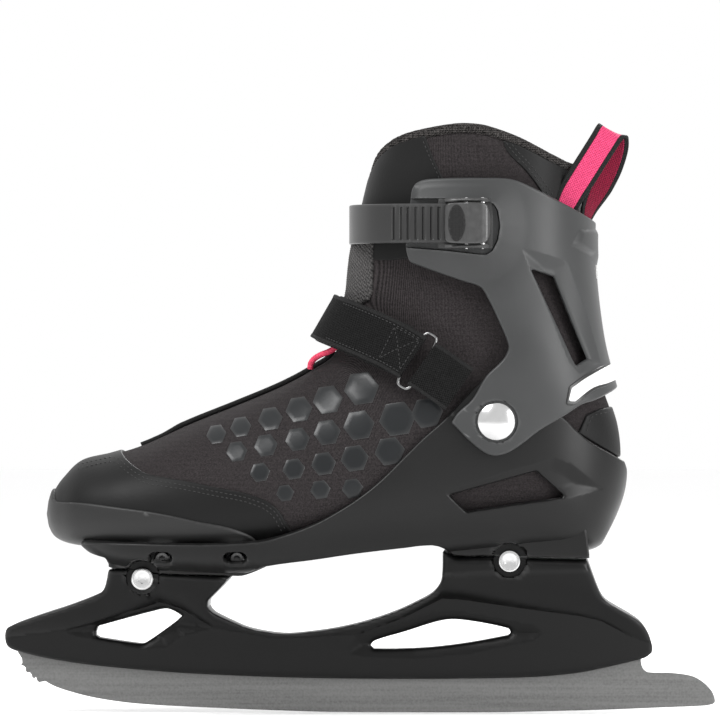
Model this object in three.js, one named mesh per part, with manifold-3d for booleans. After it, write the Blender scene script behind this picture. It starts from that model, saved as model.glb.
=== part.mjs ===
// A recreational soft-boot ice skate for the left foot.
// Millimetres, +Z up, the blade runs on Z = 0, the toe points to -X and the outer side of the foot to -Y.
import * as THREE from 'three';
import { mergeVertices } from 'three/addons/utils/BufferGeometryUtils.js';
import Module from 'manifold-3d';

// Driving dimensions
const GAP = 0.35; // clearance between pieces that touch
const BOOT_WALL = 8; // padded fabric wall of the boot
const SHELL_WALL = 3.6;
const CUFF_CLEARANCE = 5.4; // boot surface to the inside of the cuff, past the shell's wing
const CUFF_WALL = 3.3;
const BLADE_THICKNESS = 4;
const TANG_DEPTH = 9; // blade held in the holder's slot
const HINGE_X = 66.8; // ankle rivet
const HINGE_Z = 143;
const RIVET_HEAD_RADIUS = 9.1;
const RIVET_SHANK_RADIUS = 3;
const RING_SIDES = 22; // points round a boot section
const FLEX_RELIEF = 32; // opening between the foot and the leg at the instep
const FLEECE_DEPTH = 5;
const FLARE_RADIUS = 5; // rivet's flared end inside the shell
const WASHER_RADIUS = 7.4;
const PAST = 70; // far enough out to clear either side
const BOLT_FACE = 24.6; // outer face of the towers at the frame bolts
const BOLT_RECESS = 3.4;
const BOLT_BORE = 3.4;
const BOLT_SHANK_RADIUS = 3;
const BOLT_HEAD_RADIUS = 5.5;
const HOLDER_RECESS_RADIUS = 8;
const SHELL_RECESS_RADIUS = 8.6;
const SCREW_Z = 75.8; // sole screws
const LUG_HALF = 27; // half-width of the lugs under the shell
const TONGUE_HALF = 11.6; // part of the lug that stands in the tower's pocket
const TONGUE_REACH = 16;
const BUCKLE_SEAT_Y = 52.6;
const BUCKLE_FACE_Y = -BUCKLE_SEAT_Y - GAP;
const BUCKLE_RIVETS = [45, 59];
const BUCKLE_RIVET_RADIUS = 1.6;
const LEVER_PIN = [60.4, -62.2];
const PAWL_PIN = [52.6, -60.2];
const LEVER_BORE = 1.5;
const PAWL_BORE = 1.2;
const STRAP_Z = 238.5; // ladder strap
const STRAP_THICKNESS = 2.6;
const STRAP_HEIGHT = 19;
const ANCHOR_X = 30;
const STRAP_WIDTH = 25; // hook-and-loop strap and its webbing
const ACROSS = [-0.5, 0, -0.866]; // width direction of the instep strap
const RING_CENTRE = [28.6, -46.6, 172.2];
const PULL_LOOP_WIDTH = 17.5;
const PULL_LOOP_THICKNESS = 1.5;
const LATERAL = -1;
const MEDIAL = 1;
const SIDES = [['lateral', LATERAL], ['medial', MEDIAL]];
const BOLTS = [['front', [-105.9, 66.1]], ['rear', [73, 74.7]]];
const SOLE_SCREWS = [[-96.1, LATERAL], [-59.6, LATERAL], [-96.1, MEDIAL], [-59.6, MEDIAL]];

const group = new THREE.Group();
const wasm = await Module();
wasm.setup();

// Outlines seen from the outer side, as [x, z]
const BLADE_LOWER = [
  [-168.7, 29.5], [-166, 25.3], [-167.3, 22.3], [-164.5, 22.3], [-164.6, 19.1], [-161.7, 19.4],
  [-162, 16.3], [-158.9, 16.9], [-159.1, 14], [-155.1, 15], [-150.6, 12.5], [-143, 9.9],
  [-132, 7.1], [-117, 4.7], [-102, 3.4], [-87, 2.6], [-59, 1.4], [-30, 0.4], [-12, 0],
  [66, 0], [92, 0.6], [115.5, 1.2], [147, 2.5], [168.7, 3.5], [172.9, 4.4], [173.5, 6.3],
  [171.8, 10.5], [167.6, 14.8], [162.3, 17.8], [152.7, 19.3], [141, 19.6], [138.9, 20.6],
  [137.5, 22.8], [137.3, 25.1],
];
const HOLDER_LOWER = [
  [137.3, 26.4], [120.9, 22.4], [104.9, 19.3], [83.7, 17.4], [51.8, 16.6], [9.3, 16.4],
  [-39.7, 17.1], [-86.9, 19.1], [-109.4, 20.8], [-131.9, 23], [-150.6, 25.7], [-168.7, 29.8],
];
const HOLDER_UPPER = [
  [-172.8, 31.7], [-174.2, 34.3], [-174.2, 38.8], [-172.4, 41.8], [-158, 47.4], [-143, 52.3],
  [-127.5, 58.5], [-124.7, 61.3], [-122.4, 70.4], [-111.6, 70.4], [-105, 69], [-98.4, 68],
  [-62.8, 67], [-67.5, 61.8], [-74.1, 55.2], [-74.5, 51.5], [-72.2, 49.1], [-63.7, 44.9],
  [-54.4, 41.2], [-38.5, 38.6], [-26.3, 39.3], [-11.6, 41.4], [2.5, 44.7], [16.6, 49.4],
  [27.8, 54.5], [35.3, 58.8], [39.1, 63.9], [40.2, 68.6], [40.5, 79.9], [41.8, 79.4],
  [47.5, 76.9], [65.3, 76.9], [82.2, 76], [110.8, 75.3], [115.5, 62.6], [118.7, 56.3],
  [124.1, 52.5], [131.5, 48.3], [136.8, 44.5], [140.5, 39.2], [142.6, 32.9], [142.6, 29.7],
  [140, 27.5],
];
const FRONT_WINDOW = [
  [-128.9, 42.1], [-98.1, 50.4], [-93.6, 50.6], [-87.4, 47.4], [-90.7, 44.4], [-105.6, 33.9],
  [-107.9, 33.5], [-128.9, 36.5], [-130.2, 38],
];
const REAR_WINDOW = [
  [4.4, 33], [7.2, 35.3], [21.3, 39.5], [40, 45.2], [50.3, 45.4], [71.9, 41.4], [73.7, 39.5],
  [72.3, 37.8], [54, 34.4], [35.3, 32], [16.6, 31.1], [6.2, 31.1],
];
const SHELL_TOP_FRONT = [
  [52.4, 155.4], [41.8, 144], [31.2, 134.6], [20.9, 124.3], [10.5, 114], [0.2, 105.7],
  [-10.1, 99], [-20.4, 93.3], [-33.8, 88], [-48, 84.3], [-78.9, 82.8], [-113, 83.5], [-135.7, 83.5],
];
const SHELL_BOTTOM = [
  [-134.9, 80.4], [-131.3, 77.6], [-123.8, 75.4], [-122.7, 71.1], [-111.6, 70.9], [-98.4, 68.6],
  [-67, 67.7], [-57.6, 67.3], [-51.9, 68.9], [-45.4, 71.8], [-20.9, 75.2], [-2.2, 78],
  [21.3, 80.8], [34.3, 82.2], [40.2, 81], [45.9, 77.4], [66.2, 77.4], [81.6, 76.5], [115, 75.8],
];
const SHELL_HEEL = [
  [121.4, 88], [125.5, 96.1], [128.7, 104.2], [130.9, 112.3], [130.9, 118.8], [129.6, 122.9],
  [121.4, 127.8], [114.1, 131.8], [106, 138.3], [99.5, 144.8], [82.8, 155], [68, 160], [61.3, 163.7],
];
const SHELL_WINDOW = [[44.2, 107.1], [86.5, 118.8], [99.5, 107.5], [99.5, 105.8], [52.4, 98.5]];
const CUFF_OUTLINE = [
  [26.3, 250.2], [30, 258.8], [36.6, 260.2], [60, 260.6], [74.1, 259.9], [83.4, 256.2],
  [102.2, 246.2], [116.3, 237.2], [119.6, 233.3], [120.1, 222.8], [115.4, 221], [116.2, 209.8],
  [118.5, 194.2], [120.9, 181.7], [123.2, 173.1], [125.6, 170.4], [127.1, 164.2], [122.5, 157.9],
  [113, 152.8], [106.8, 150.9], [99.5, 146.1], [87.3, 138.7], [78.4, 131.8], [73.5, 128.6],
  [69.4, 127], [65.4, 126.6], [61.3, 127.8], [54.8, 132.6], [45.1, 142.4], [48.3, 147.2],
  [55.3, 153.7], [61.9, 164.8], [69.4, 172.3], [72.2, 177], [72.2, 180.8], [68.5, 190.1],
  [62.8, 202.3], [59.1, 207.9], [50.7, 210.8], [27.2, 219.3], [25.3, 221.1], [23.9, 228.6],
];
const CUFF_WINDOW = [[82.6, 216.9], [94.3, 212.9], [110, 173.1], [104.1, 169.6]];
const BUCKLE_SEAT = [[27, 248.5], [61, 248.5], [65, 244], [66, 236], [63, 226], [58, 225.5], [27, 228]];
const BADGE = [
  [101.3, 152.8], [102.9, 159.1], [110.7, 164.5], [124, 172], [129, 170], [129, 164],
  [113, 159.1], [104.5, 152],
];
const TOE_BUMPER = [
  [-156, 84], [-156, 112], [-150, 109.5], [-148, 103.9], [-146.3, 102.9], [-134, 102.9],
  [-115.3, 101], [-96.6, 98.7], [-77.8, 95], [-63.7, 92.6], [-51.5, 88], [-48, 85.1], [-78.9, 83.5],
  [-113, 84.2], [-136.2, 84.2], [-137, 80], [-148, 80],
];
const TOE_CAP = [
  [-149.5, 110.3], [-147.5, 104.6], [-146, 103.6], [-134, 103.6], [-115.3, 101.7], [-96.6, 99.4],
  [-77.8, 95.7], [-63.7, 93.3], [-51.2, 88.8], [-47.4, 85.4], [-33.5, 88.9], [-35.2, 94.5],
  [-39.4, 101], [-49.7, 106.7], [-68.5, 110.9], [-94.7, 115.6], [-102.2, 117], [-112.5, 123],
  [-118, 128.5], [-122, 134], [-152, 130],
];
const HEEL_PATCH = [
  [112, 134], [112, 143], [118, 147], [130, 150], [132, 125.8], [127.5, 125.8], [121.6, 128.6],
];
const FRONT_LUG = [
  [-122.2, 71.1], [-111.6, 70.9], [-98.4, 68.6], [-67, 67.7], [-57.6, 67.3], [-51.9, 68.9],
  [-45.4, 71.8], [-43, 84], [-122.2, 84],
];
const REAR_LUG = [[42, 80.6], [47, 77.5], [66.2, 77.5], [81.6, 76.8], [112, 76], [110, 96], [42, 96]];
const COLLAR_RIM = [
  [-4, 262.4], [2, 262.4], [7.1, 271.8], [11.3, 276.9], [17.8, 281.1], [27.2, 284], [46, 287],
  [55.3, 287], [62.8, 285.8], [78.7, 280.2], [97.5, 270.8], [105, 268], [116, 268],
];

// Boot sections from the toe up to the collar. Each lies across the foot on the line from the
// front of the boot to its sole or heel: [front x, front z, back x, back z, half-width, place of
// the widest point from the front, roundness in front, roundness at the back, shell depth below].
const STATIONS = [
  [-151.3, 103, -151, 91, 10, 0.6, 2, 2, 4],
  [-149.3, 108.5, -148.5, 87.5, 21, 0.6, 2, 2.4, 4],
  [-145, 114.5, -143.5, 85.3, 30, 0.62, 2, 2.8, 5],
  [-136.5, 122.3, -136, 84, 38.5, 0.64, 2, 3, 7],
  [-122, 126, -122, 82.6, 45, 0.66, 2.1, 3, 12],
  [-105.5, 131.3, -104, 81.6, 49, 0.68, 2.1, 3, 13],
  [-84, 141, -80, 81, 50.5, 0.68, 2, 3, 14],
  [-62, 149.8, -55, 81, 49, 0.68, 2, 3, 15],
  [-40, 159, -28, 82.3, 46, 0.66, 2, 3, 14],
  [-24.4, 167.6, 5, 85, 43, 0.62, 2, 2.9, 14],
  [-16, 175, 40, 88, 41.5, 0.6, 2.1, 2.8, 15],
  [-11.5, 186, 75, 90, 41, 0.56, 2.2, 2.7, 16],
  [-8, 197, 103, 92.5, 40.5, 0.54, 2.3, 2.5, 17],
  [-6.1, 206, 120, 103, 40.5, 0.52, 2.3, 2.3, 8],
  [-5.4, 213, 125.5, 121, 40.5, 0.5, 2.3, 2.2, 6],
  [-4.9, 218, 124.5, 140, 41, 0.5, 2.3, 2.2, 4],
  [-3.8, 226, 118, 160, 41.5, 0.5, 2.3, 2.3, 4],
  [-1, 239, 111.5, 184, 42.5, 0.5, 2.3, 2.3, 4],
  [2.4, 254, 107.3, 215, 43.5, 0.5, 2.3, 2.4, 4],
  [5.5, 266, 106.5, 240, 44.5, 0.5, 2.3, 2.4, 4],
  [8.5, 275, 108.5, 262, 45.5, 0.5, 2.3, 2.4, 4],
  [11, 294, 110, 288, 46, 0.5, 2.3, 2.4, 4],
];
const TOE_SHIFT = 7; // the toe of a left boot leans to the inner side
const ANKLE_X = 20;

// Levels of the pieces stacked at the ankle rivet, outwards from the middle of the boot
const SHELL_FACE_Y = sideY(HINGE_X, HINGE_Z, SHELL_WALL + GAP);
const CUFF_INNER_Y = sideY(HINGE_X, HINGE_Z, CUFF_CLEARANCE);
const RIVET_SEAT_Y = sideY(HINGE_X, HINGE_Z, CUFF_CLEARANCE + CUFF_WALL) - 0.8;
const FLARE_Y = SHELL_FACE_Y - SHELL_WALL + 1.4;

// Finish of each kind of piece: colour, roughness, metalness
const FINISH = {
  blade_steel: [0x7a7a7a, 0.45, 0.9],
  holder_plastic: [0x2b2b2b, 0.45, 0],
  shell_plastic: [0x3a3a3a, 0.5, 0],
  cuff_plastic: [0x4a4c4c, 0.5, 0],
  bright_steel: [0xc9c9c9, 0.25, 1],
  black_steel: [0x1c1c1c, 0.4, 0.8],
  fabric: [0x3f3a3b, 0.9, 0],
  synthetic_leather: [0x3a3b3b, 0.6, 0],
  rubber: [0x5a5c5e, 0.7, 0],
  fleece: [0x3b3838, 1, 0],
  webbing: [0x1d1d1e, 0.85, 0],
  pink_cord: [0xe0405f, 0.7, 0],
  pink_webbing: [0xe8447c, 0.75, 0],
  badge_silver: [0xd8d8d6, 0.35, 0.2],
  buckle_grey: [0x5c5e60, 0.4, 0.3],
  nylon: [0x242424, 0.4, 0],
  foam: [0x6b6b6b, 0.9, 0],
};

function addPart(name, finish, solid) {
  const [color, roughness, metalness] = FINISH[finish];
  const material = new THREE.MeshStandardMaterial({ color, roughness, metalness });
  const mesh = new THREE.Mesh(toGeometry(solid), material);
  mesh.name = name;
  group.add(mesh);
}

function toGeometry(solid) {
  const { vertProperties, triVerts } = solid.getMesh();
  const geometry = new THREE.BufferGeometry();
  geometry.setAttribute('position', new THREE.BufferAttribute(vertProperties, 3));
  geometry.setIndex(new THREE.BufferAttribute(triVerts, 1));
  geometry.computeVertexNormals();
  return geometry;
}

function toSolid(source) {
  const geometry = source.clone();
  geometry.deleteAttribute('normal');
  geometry.deleteAttribute('uv');
  const merged = mergeVertices(geometry, 1e-4);
  return new wasm.Manifold(new wasm.Mesh({
    numProp: 3,
    vertProperties: new Float32Array(merged.attributes.position.array),
    triVerts: new Uint32Array(merged.index.array),
  }));
}

// A straight piece: an [x, z] outline carried across the skate from fromY to toY
function prism(outline, fromY, toY) {
  const shape = new THREE.Shape(outline.map(([x, z]) => new THREE.Vector2(x, z)));
  const geometry = new THREE.ExtrudeGeometry(shape, { depth: toY - fromY, bevelEnabled: false, steps: 1 });
  geometry.rotateX(Math.PI / 2);
  geometry.translate(0, toY, 0);
  return toSolid(geometry);
}

// A straight piece along the skate: a [y, z] outline carried from fromX to toX
function beam(outline, fromX, toX) {
  const shape = new THREE.Shape(outline.map(([y, z]) => new THREE.Vector2(y, z)));
  const geometry = new THREE.ExtrudeGeometry(shape, { depth: toX - fromX, bevelEnabled: false, steps: 1 });
  const turn = new THREE.Matrix4().set(0, 0, 1, fromX, 1, 0, 0, 0, 0, 1, 0, 0, 0, 0, 0, 1);
  geometry.applyMatrix4(turn);
  return toSolid(geometry);
}

function box(low, high) {
  const size = high.map((value, axis) => value - low[axis]);
  const geometry = new THREE.BoxGeometry(...size);
  geometry.translate(...high.map((value, axis) => (value + low[axis]) / 2));
  return toSolid(geometry);
}

// A turned piece: [radius, height] profile about an axis through place, along direction
function turned(profile, place, direction, sides = 20) {
  const points = profile.map(([radius, height]) => new THREE.Vector2(radius, height));
  const geometry = new THREE.LatheGeometry(points, sides);
  const up = new THREE.Vector3(0, 1, 0);
  const aim = new THREE.Quaternion().setFromUnitVectors(up, new THREE.Vector3(...direction).normalize());
  geometry.applyQuaternion(aim);
  geometry.translate(...place);
  return outward(geometry);
}

function rod(radius, place, direction, from, to, sides = 20) {
  return turned([[0, from], [radius, from], [radius, to], [0, to]], place, direction, sides);
}

function outward(geometry) {
  const position = geometry.attributes.position;
  const index = geometry.index.array;
  const [a, b, c] = [new THREE.Vector3(), new THREE.Vector3(), new THREE.Vector3()];
  let volume = 0;
  for (let i = 0; i < index.length; i += 3) {
    a.fromBufferAttribute(position, index[i]);
    b.fromBufferAttribute(position, index[i + 1]);
    c.fromBufferAttribute(position, index[i + 2]);
    volume += a.dot(b.cross(c));
  }
  if (volume < 0) {
    for (let i = 0; i < index.length; i += 3) {
      [index[i], index[i + 1]] = [index[i + 1], index[i]];
    }
  }
  return toSolid(geometry);
}

// A skin over a row of rings with the same number of points, closed on itself or capped
function skin(rings, closed = false) {
  const count = rings[0].length;
  const vertices = rings.flat().flatMap((point) => [point.x, point.y, point.z]);
  const triangles = [];
  const last = closed ? rings.length : rings.length - 1;
  for (let r = 0; r < last; r += 1) {
    const next = (r + 1) % rings.length;
    for (let i = 0; i < count; i += 1) {
      const j = (i + 1) % count;
      const corners = [r * count + i, r * count + j, next * count + i, next * count + j];
      triangles.push(corners[0], corners[1], corners[2], corners[1], corners[3], corners[2]);
    }
  }
  if (!closed) {
    capRing(rings[0], 0, vertices, triangles, true);
    capRing(rings.at(-1), (rings.length - 1) * count, vertices, triangles, false);
  }
  const geometry = new THREE.BufferGeometry();
  geometry.setAttribute('position', new THREE.BufferAttribute(new Float32Array(vertices), 3));
  geometry.setIndex(triangles);
  return outward(geometry);
}

function capRing(ring, first, vertices, triangles, flipped) {
  const centre = new THREE.Vector3();
  ring.forEach((point) => centre.addScaledVector(point, 1 / ring.length));
  const middle = vertices.length / 3;
  vertices.push(centre.x, centre.y, centre.z);
  for (let i = 0; i < ring.length; i += 1) {
    const j = (i + 1) % ring.length;
    if (flipped) triangles.push(middle, first + j, first + i);
    else triangles.push(middle, first + i, first + j);
  }
}

function toeShift(x) {
  const part = Math.min(Math.max((ANKLE_X - x) / (ANKLE_X + 150), 0), 1);
  return TOE_SHIFT * part * part;
}

// One boot section, grown outwards by offset, and by its own sole depth when asked
function section(station, offset, deep) {
  const [frontX, frontZ, backX, backZ, halfWidth, widest, roundFront, roundBack, depth] = station;
  const front = new THREE.Vector3(frontX, 0, frontZ);
  const back = new THREE.Vector3(backX, 0, backZ);
  const along = back.clone().sub(front);
  const length = along.length();
  along.normalize();
  const backOffset = deep ? Math.max(depth, offset) : offset;
  const ring = [];
  for (let i = 0; i < RING_SIDES; i += 1) {
    const angle = (i / RING_SIDES) * 2 * Math.PI;
    const [c, s] = [Math.cos(angle), Math.sin(angle)];
    const roundness = c > 0 ? roundFront : roundBack;
    const reach = c > 0 ? length * widest + offset : length * (1 - widest) + backOffset;
    const distance = length * widest - Math.sign(c) * reach * Math.abs(c) ** (2 / roundness);
    const side = Math.sign(s) * (halfWidth + offset) * Math.abs(s) ** (2 / roundness);
    const point = front.clone().addScaledVector(along, distance);
    point.y = side + toeShift(point.x);
    ring.push(point);
  }
  return ring;
}

// The boot's surface grown by offset as a solid
function bootBody(offset, deep = false) {
  const rings = STATIONS.map((station) => section(station, offset, deep));
  const tip = rings[0];
  tip.forEach((point) => { point.x -= offset; });
  return skin(rings);
}

// How far the boot's surface stands out at (x, z) on one side
function sideY(x, z, offset) {
  let best = [Infinity, 0];
  for (let i = 0; i < STATIONS.length - 1; i += 1) {
    for (let k = 0; k < 20; k += 1) {
      const mix = STATIONS[i].map((value, n) => value + ((STATIONS[i + 1][n] - value) * k) / 20);
      const [frontX, frontZ, backX, backZ, halfWidth, widest, roundFront, roundBack] = mix;
      const [dx, dz] = [backX - frontX, backZ - frontZ];
      const length = Math.hypot(dx, dz);
      const miss = Math.abs((x - frontX) * dz - (z - frontZ) * dx) / length;
      if (miss >= best[0]) continue;
      const along = ((x - frontX) * dx + (z - frontZ) * dz) / length;
      const ahead = along < length * widest;
      const reach = (ahead ? length * widest : length * (1 - widest)) + offset;
      const roundness = ahead ? roundFront : roundBack;
      const ratio = Math.min(Math.abs(along - length * widest) / reach, 1);
      best = [miss, (halfWidth + offset) * (1 - ratio ** roundness) ** (1 / roundness)];
    }
  }
  return best[1];
}

// A thin layer on the boot between two offsets, inside a side outline
function layer(outline, inner, outer, deep = false) {
  const wall = bootBody(outer, deep).subtract(bootBody(inner));
  return wall.intersect(prism(outline, -PAST, PAST));
}

// A flat band along a route: each stop is [x, y, z] with the band's width direction and normal
function band(route, widthAt, normalAt, width, thickness) {
  const rings = route.map((stop, i) => {
    const centre = new THREE.Vector3(...stop);
    const across = widthAt(i).clone().multiplyScalar(width / 2);
    const out = normalAt(i).clone().multiplyScalar(thickness / 2);
    return [
      centre.clone().add(across).add(out),
      centre.clone().sub(across).add(out),
      centre.clone().sub(across).sub(out),
      centre.clone().add(across).sub(out),
    ];
  });
  return skin(rings);
}

// A band whose faces stay square to its route and to a fixed width direction
function strapAlong(stops, across, width, thickness, steps) {
  const curve = new THREE.CatmullRomCurve3(stops.map((stop) => new THREE.Vector3(...stop)));
  const route = curve.getSpacedPoints(steps);
  const widthAxis = new THREE.Vector3(...across).normalize();
  const normal = (i) => {
    const ahead = route[Math.min(i + 1, steps)];
    const behind = route[Math.max(i - 1, 0)];
    return ahead.clone().sub(behind).cross(widthAxis).normalize();
  };
  return band(route.map((p) => p.toArray()), () => widthAxis, normal, width, thickness);
}

// A round wire along a closed route
function wireRing(stops, radius, sides = 6) {
  const points = stops.map((stop) => new THREE.Vector3(...stop));
  const curve = new THREE.CatmullRomCurve3(points, true, 'catmullrom', 0.15);
  const count = 24;
  const frames = curve.computeFrenetFrames(count, true);
  const rings = [];
  for (let i = 0; i < count; i += 1) {
    const centre = curve.getPointAt(i / count);
    const ring = [];
    for (let k = 0; k < sides; k += 1) {
      const angle = (k / sides) * 2 * Math.PI;
      const point = centre.clone();
      point.addScaledVector(frames.normals[i], radius * Math.cos(angle));
      point.addScaledVector(frames.binormals[i], radius * Math.sin(angle));
      ring.push(point);
    }
    rings.push(ring);
  }
  return skin(rings, true);
}

function tube(stops, radius, sides, steps) {
  const circle = new THREE.Shape();
  circle.absarc(0, 0, radius, 0, 2 * Math.PI);
  const path = new THREE.CatmullRomCurve3(stops.map((stop) => new THREE.Vector3(...stop)));
  const ringShape = new THREE.Shape(circle.getPoints(sides).slice(0, sides));
  const geometry = new THREE.ExtrudeGeometry(ringShape, { steps, extrudePath: path, bevelEnabled: false });
  const merged = mergeVertices(stripped(geometry), 1e-4);
  return outward(merged);
}

function stripped(geometry) {
  geometry.deleteAttribute('normal');
  geometry.deleteAttribute('uv');
  return geometry;
}

// Blade with toe picks, held by its tang in the holder's slot
function makeBlade() {
  const tang = [...HOLDER_LOWER].slice(1, -1).map(([x, z]) => [x, z + TANG_DEPTH - GAP]);
  const outline = [...BLADE_LOWER, [130, 33], ...tang, [-160, 37]];
  addPart('blade', 'blade_steel', prism(outline, -BLADE_THICKNESS / 2, BLADE_THICKNESS / 2));
}

// Moulded holder: two hollow-sided towers joined by a beam, flared up to the sole
function makeHolder() {
  const outline = [...HOLDER_LOWER, ...HOLDER_UPPER];
  const flare = [
    [-5, 10], [5, 10], [6.5, 30], [8, 42], [13, 54], [24, 66], [27, 82],
    [-27, 82], [-24, 66], [-13, 54], [-8, 42], [-6.5, 30],
  ];
  let holder = prism(outline, -PAST, PAST).intersect(beam(flare, -180, 150));
  holder = holder.subtract(prism(FRONT_WINDOW, -PAST, PAST));
  holder = holder.subtract(prism(REAR_WINDOW, -PAST, PAST));
  holder = holder.subtract(bladeSlot());
  BOLTS.forEach(([, place]) => {
    holder = holder.subtract(boltHoles(place, HOLDER_RECESS_RADIUS));
    holder = holder.subtract(acrossRod(BOLT_BORE, place, -PAST, PAST));
    holder = holder.subtract(tonguePocket(place));
  });
  addPart('blade_holder', 'holder_plastic', holder);
}

function bladeSlot() {
  const top = HOLDER_LOWER.slice(1, -1).map(([x, z]) => [x, z + TANG_DEPTH + 0.2]);
  const rear = [[150, 0], [139, 20], [137.8, 27], [132, 34]];
  const front = [[-161, 38], [-169.6, 30.2], [-180, 20], [-180, 0]];
  const half = BLADE_THICKNESS / 2 + GAP;
  return prism([...rear, ...top, ...front], -half, half);
}

function tonguePocket([x, z]) {
  const half = TONGUE_HALF + GAP;
  return box([x - 11.4, -half, z - 7.9], [x + 11.4, half, z + 30]);
}

function acrossRod(radius, [x, z], fromY, toY, sides = 20) {
  return rod(radius, [x, 0, z], [0, 1, 0], fromY, toY, sides);
}

// Recesses for a bolt's head and its nut, one from each side
function boltHoles(place, radius) {
  const floor = BOLT_FACE - BOLT_RECESS;
  return acrossRod(radius, place, -PAST, -floor).add(acrossRod(radius, place, floor, PAST));
}

// Socket-head frame bolts across the towers, each with its barrel nut on the inner side
function makeFrameBolts() {
  const floor = BOLT_FACE - BOLT_RECESS + GAP;
  BOLTS.forEach(([name, [x, z]]) => {
    const place = [x, 0, z];
    const headProfile = [
      [0, -floor - 3.4], [2.6, -floor - 3.4], [5.2, -floor - 3.2], [BOLT_HEAD_RADIUS, -floor - 2.8],
      [BOLT_HEAD_RADIUS, -floor], [BOLT_SHANK_RADIUS, -floor], [BOLT_SHANK_RADIUS, 12], [0, 12],
    ];
    const socket = acrossRod(2.3, [x, z], -floor - 5, -floor - 1.4, 6);
    const head = turned(headProfile, place, [0, 1, 0]);
    addPart(`${name}_frame_bolt`, 'bright_steel', head.subtract(socket));
    const nutProfile = [
      [0, 12.4], [BOLT_SHANK_RADIUS, 12.4], [BOLT_SHANK_RADIUS, floor], [BOLT_HEAD_RADIUS, floor],
      [BOLT_HEAD_RADIUS, floor + 2.8], [5, floor + 3.2], [0, floor + 3.2],
    ];
    addPart(`${name}_frame_nut`, 'bright_steel', turned(nutProfile, place, [0, 1, 0]));
  });
}

// Lower shell: sole plate, side walls, hinge wings and heel counter in one moulding
function makeShell() {
  const outline = [...SHELL_TOP_FRONT, ...SHELL_BOTTOM, ...SHELL_HEEL];
  let shell = layer(outline, GAP, SHELL_WALL + GAP, true);
  const towers = [...HOLDER_LOWER, ...HOLDER_UPPER];
  [-GAP, 0, GAP].forEach((shift) => {
    const raised = towers.map(([x, z]) => [x + shift, z + GAP]);
    shell = shell.subtract(prism(raised, -PAST, PAST));
  });
  shell = shell.subtract(prism(SHELL_WINDOW, -PAST, PAST));
  const lugs = prism(FRONT_LUG, -LUG_HALF, LUG_HALF).add(prism(REAR_LUG, -LUG_HALF, LUG_HALF));
  shell = shell.add(lugs.subtract(bootBody(GAP)));
  BOLTS.forEach(([, [x, z]]) => {
    shell = shell.subtract(boltHoles([x, z], SHELL_RECESS_RADIUS));
    const tongue = box([x - 11, -TONGUE_HALF, z - 7.5], [x + 11, TONGUE_HALF, z + TONGUE_REACH]);
    shell = shell.add(tongue.subtract(bootBody(GAP)));
    shell = shell.subtract(acrossRod(BOLT_SHANK_RADIUS + GAP, [x, z], -30, 30));
  });
  SOLE_SCREWS.forEach(([x, side]) => {
    shell = shell.subtract(rod(4.6, [x, 0, SCREW_Z], [0, side, 0], LUG_HALF - 3, PAST));
    shell = shell.subtract(rod(2, [x, 0, SCREW_Z], [0, side, 0], 14, PAST));
  });
  SIDES.forEach(([, side]) => {
    const hinge = [HINGE_X, 0, HINGE_Z];
    shell = shell.subtract(rod(RIVET_SHANK_RADIUS + GAP, hinge, [0, side, 0], 20, PAST));
    shell = shell.subtract(rod(FLARE_RADIUS + GAP, hinge, [0, side, 0], 20, FLARE_Y + GAP));
  });
  addPart('lower_shell', 'shell_plastic', shell);
}

// Short side screws that hold the footbed board to the shell's lug
function makeSoleScrews() {
  SOLE_SCREWS.forEach(([x, side], i) => {
    const face = LUG_HALF - 3 + GAP;
    const profile = [
      [0, 15], [1.65, 15], [1.65, face], [4, face], [4, face + 1.4], [3, face + 2.2], [0, face + 2.2],
    ];
    addPart(`sole_screw_${i + 1}`, 'black_steel', turned(profile, [x, 0, SCREW_Z], [0, side, 0], 14));
  });
}

// The padded boot in two pieces, parted by a wedge that opens from the ankle rivet
function makeBoot() {
  const wall = bootBody(0).subtract(bootBody(-BOOT_WALL));
  const footSide = [
    [-200, 60], [-200, 184], [-12, 184], [20, 168], [HINGE_X - 8, 146.5], [HINGE_X + 8, 144],
    [150, 142], [150, 60],
  ];
  const legSide = [
    [-40, 184 + FLEX_RELIEF], [-5, 184 + FLEX_RELIEF], [9, 175 + FLEX_RELIEF], [22, 186],
    [HINGE_X - 8, 152], [HINGE_X + 8, 148.6], [150, 153], [150, 320], [-40, 320],
  ];
  const lowRim = COLLAR_RIM.map(([x, z]) => [x, z - FLEECE_DEPTH]);
  const underFleece = [...lowRim, [150, 263], [150, 60], [-200, 60], [-200, 257.4]];
  const leg = wall.intersect(prism(legSide, -PAST, PAST));
  addPart('boot_foot', 'fabric', wall.intersect(prism(footSide, -PAST, PAST)));
  addPart('boot_leg', 'fabric', leg.intersect(prism(underFleece, -PAST, PAST)));
  const rim = [...COLLAR_RIM, [150, 268], [150, 60], [-200, 60], [-200, 262.4]];
  const above = lowRim.map(([x, z]) => [x, z + GAP]);
  const overSeam = [...above, [150, 263 + GAP], [150, 320], [-60, 320], [-60, 257.4 + GAP]];
  const collar = wall.intersect(prism(rim, -PAST, PAST)).intersect(prism(overSeam, -PAST, PAST));
  addPart('fleece_collar', 'fleece', collar);
}

// Foam footbed lying in the boot
function makeFootbed() {
  const inside = bootBody(-BOOT_WALL - GAP);
  const low = [[-145, 80], [-140, 96.5], [-100, 94.5], [-40, 95], [20, 98], [112, 103], [125, 80]];
  addPart('footbed', 'foam', inside.intersect(prism(low, -70, 70)));
}

// Overlays stitched or moulded on the boot
function makeOverlays() {
  addPart('toe_bumper', 'rubber', layer(TOE_BUMPER, GAP, 2.6));
  addPart('toe_cap', 'synthetic_leather', layer(TOE_CAP, GAP, 1.6));
  addPart('heel_patch', 'synthetic_leather', layer(HEEL_PATCH, GAP, 1.5));
}

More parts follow.
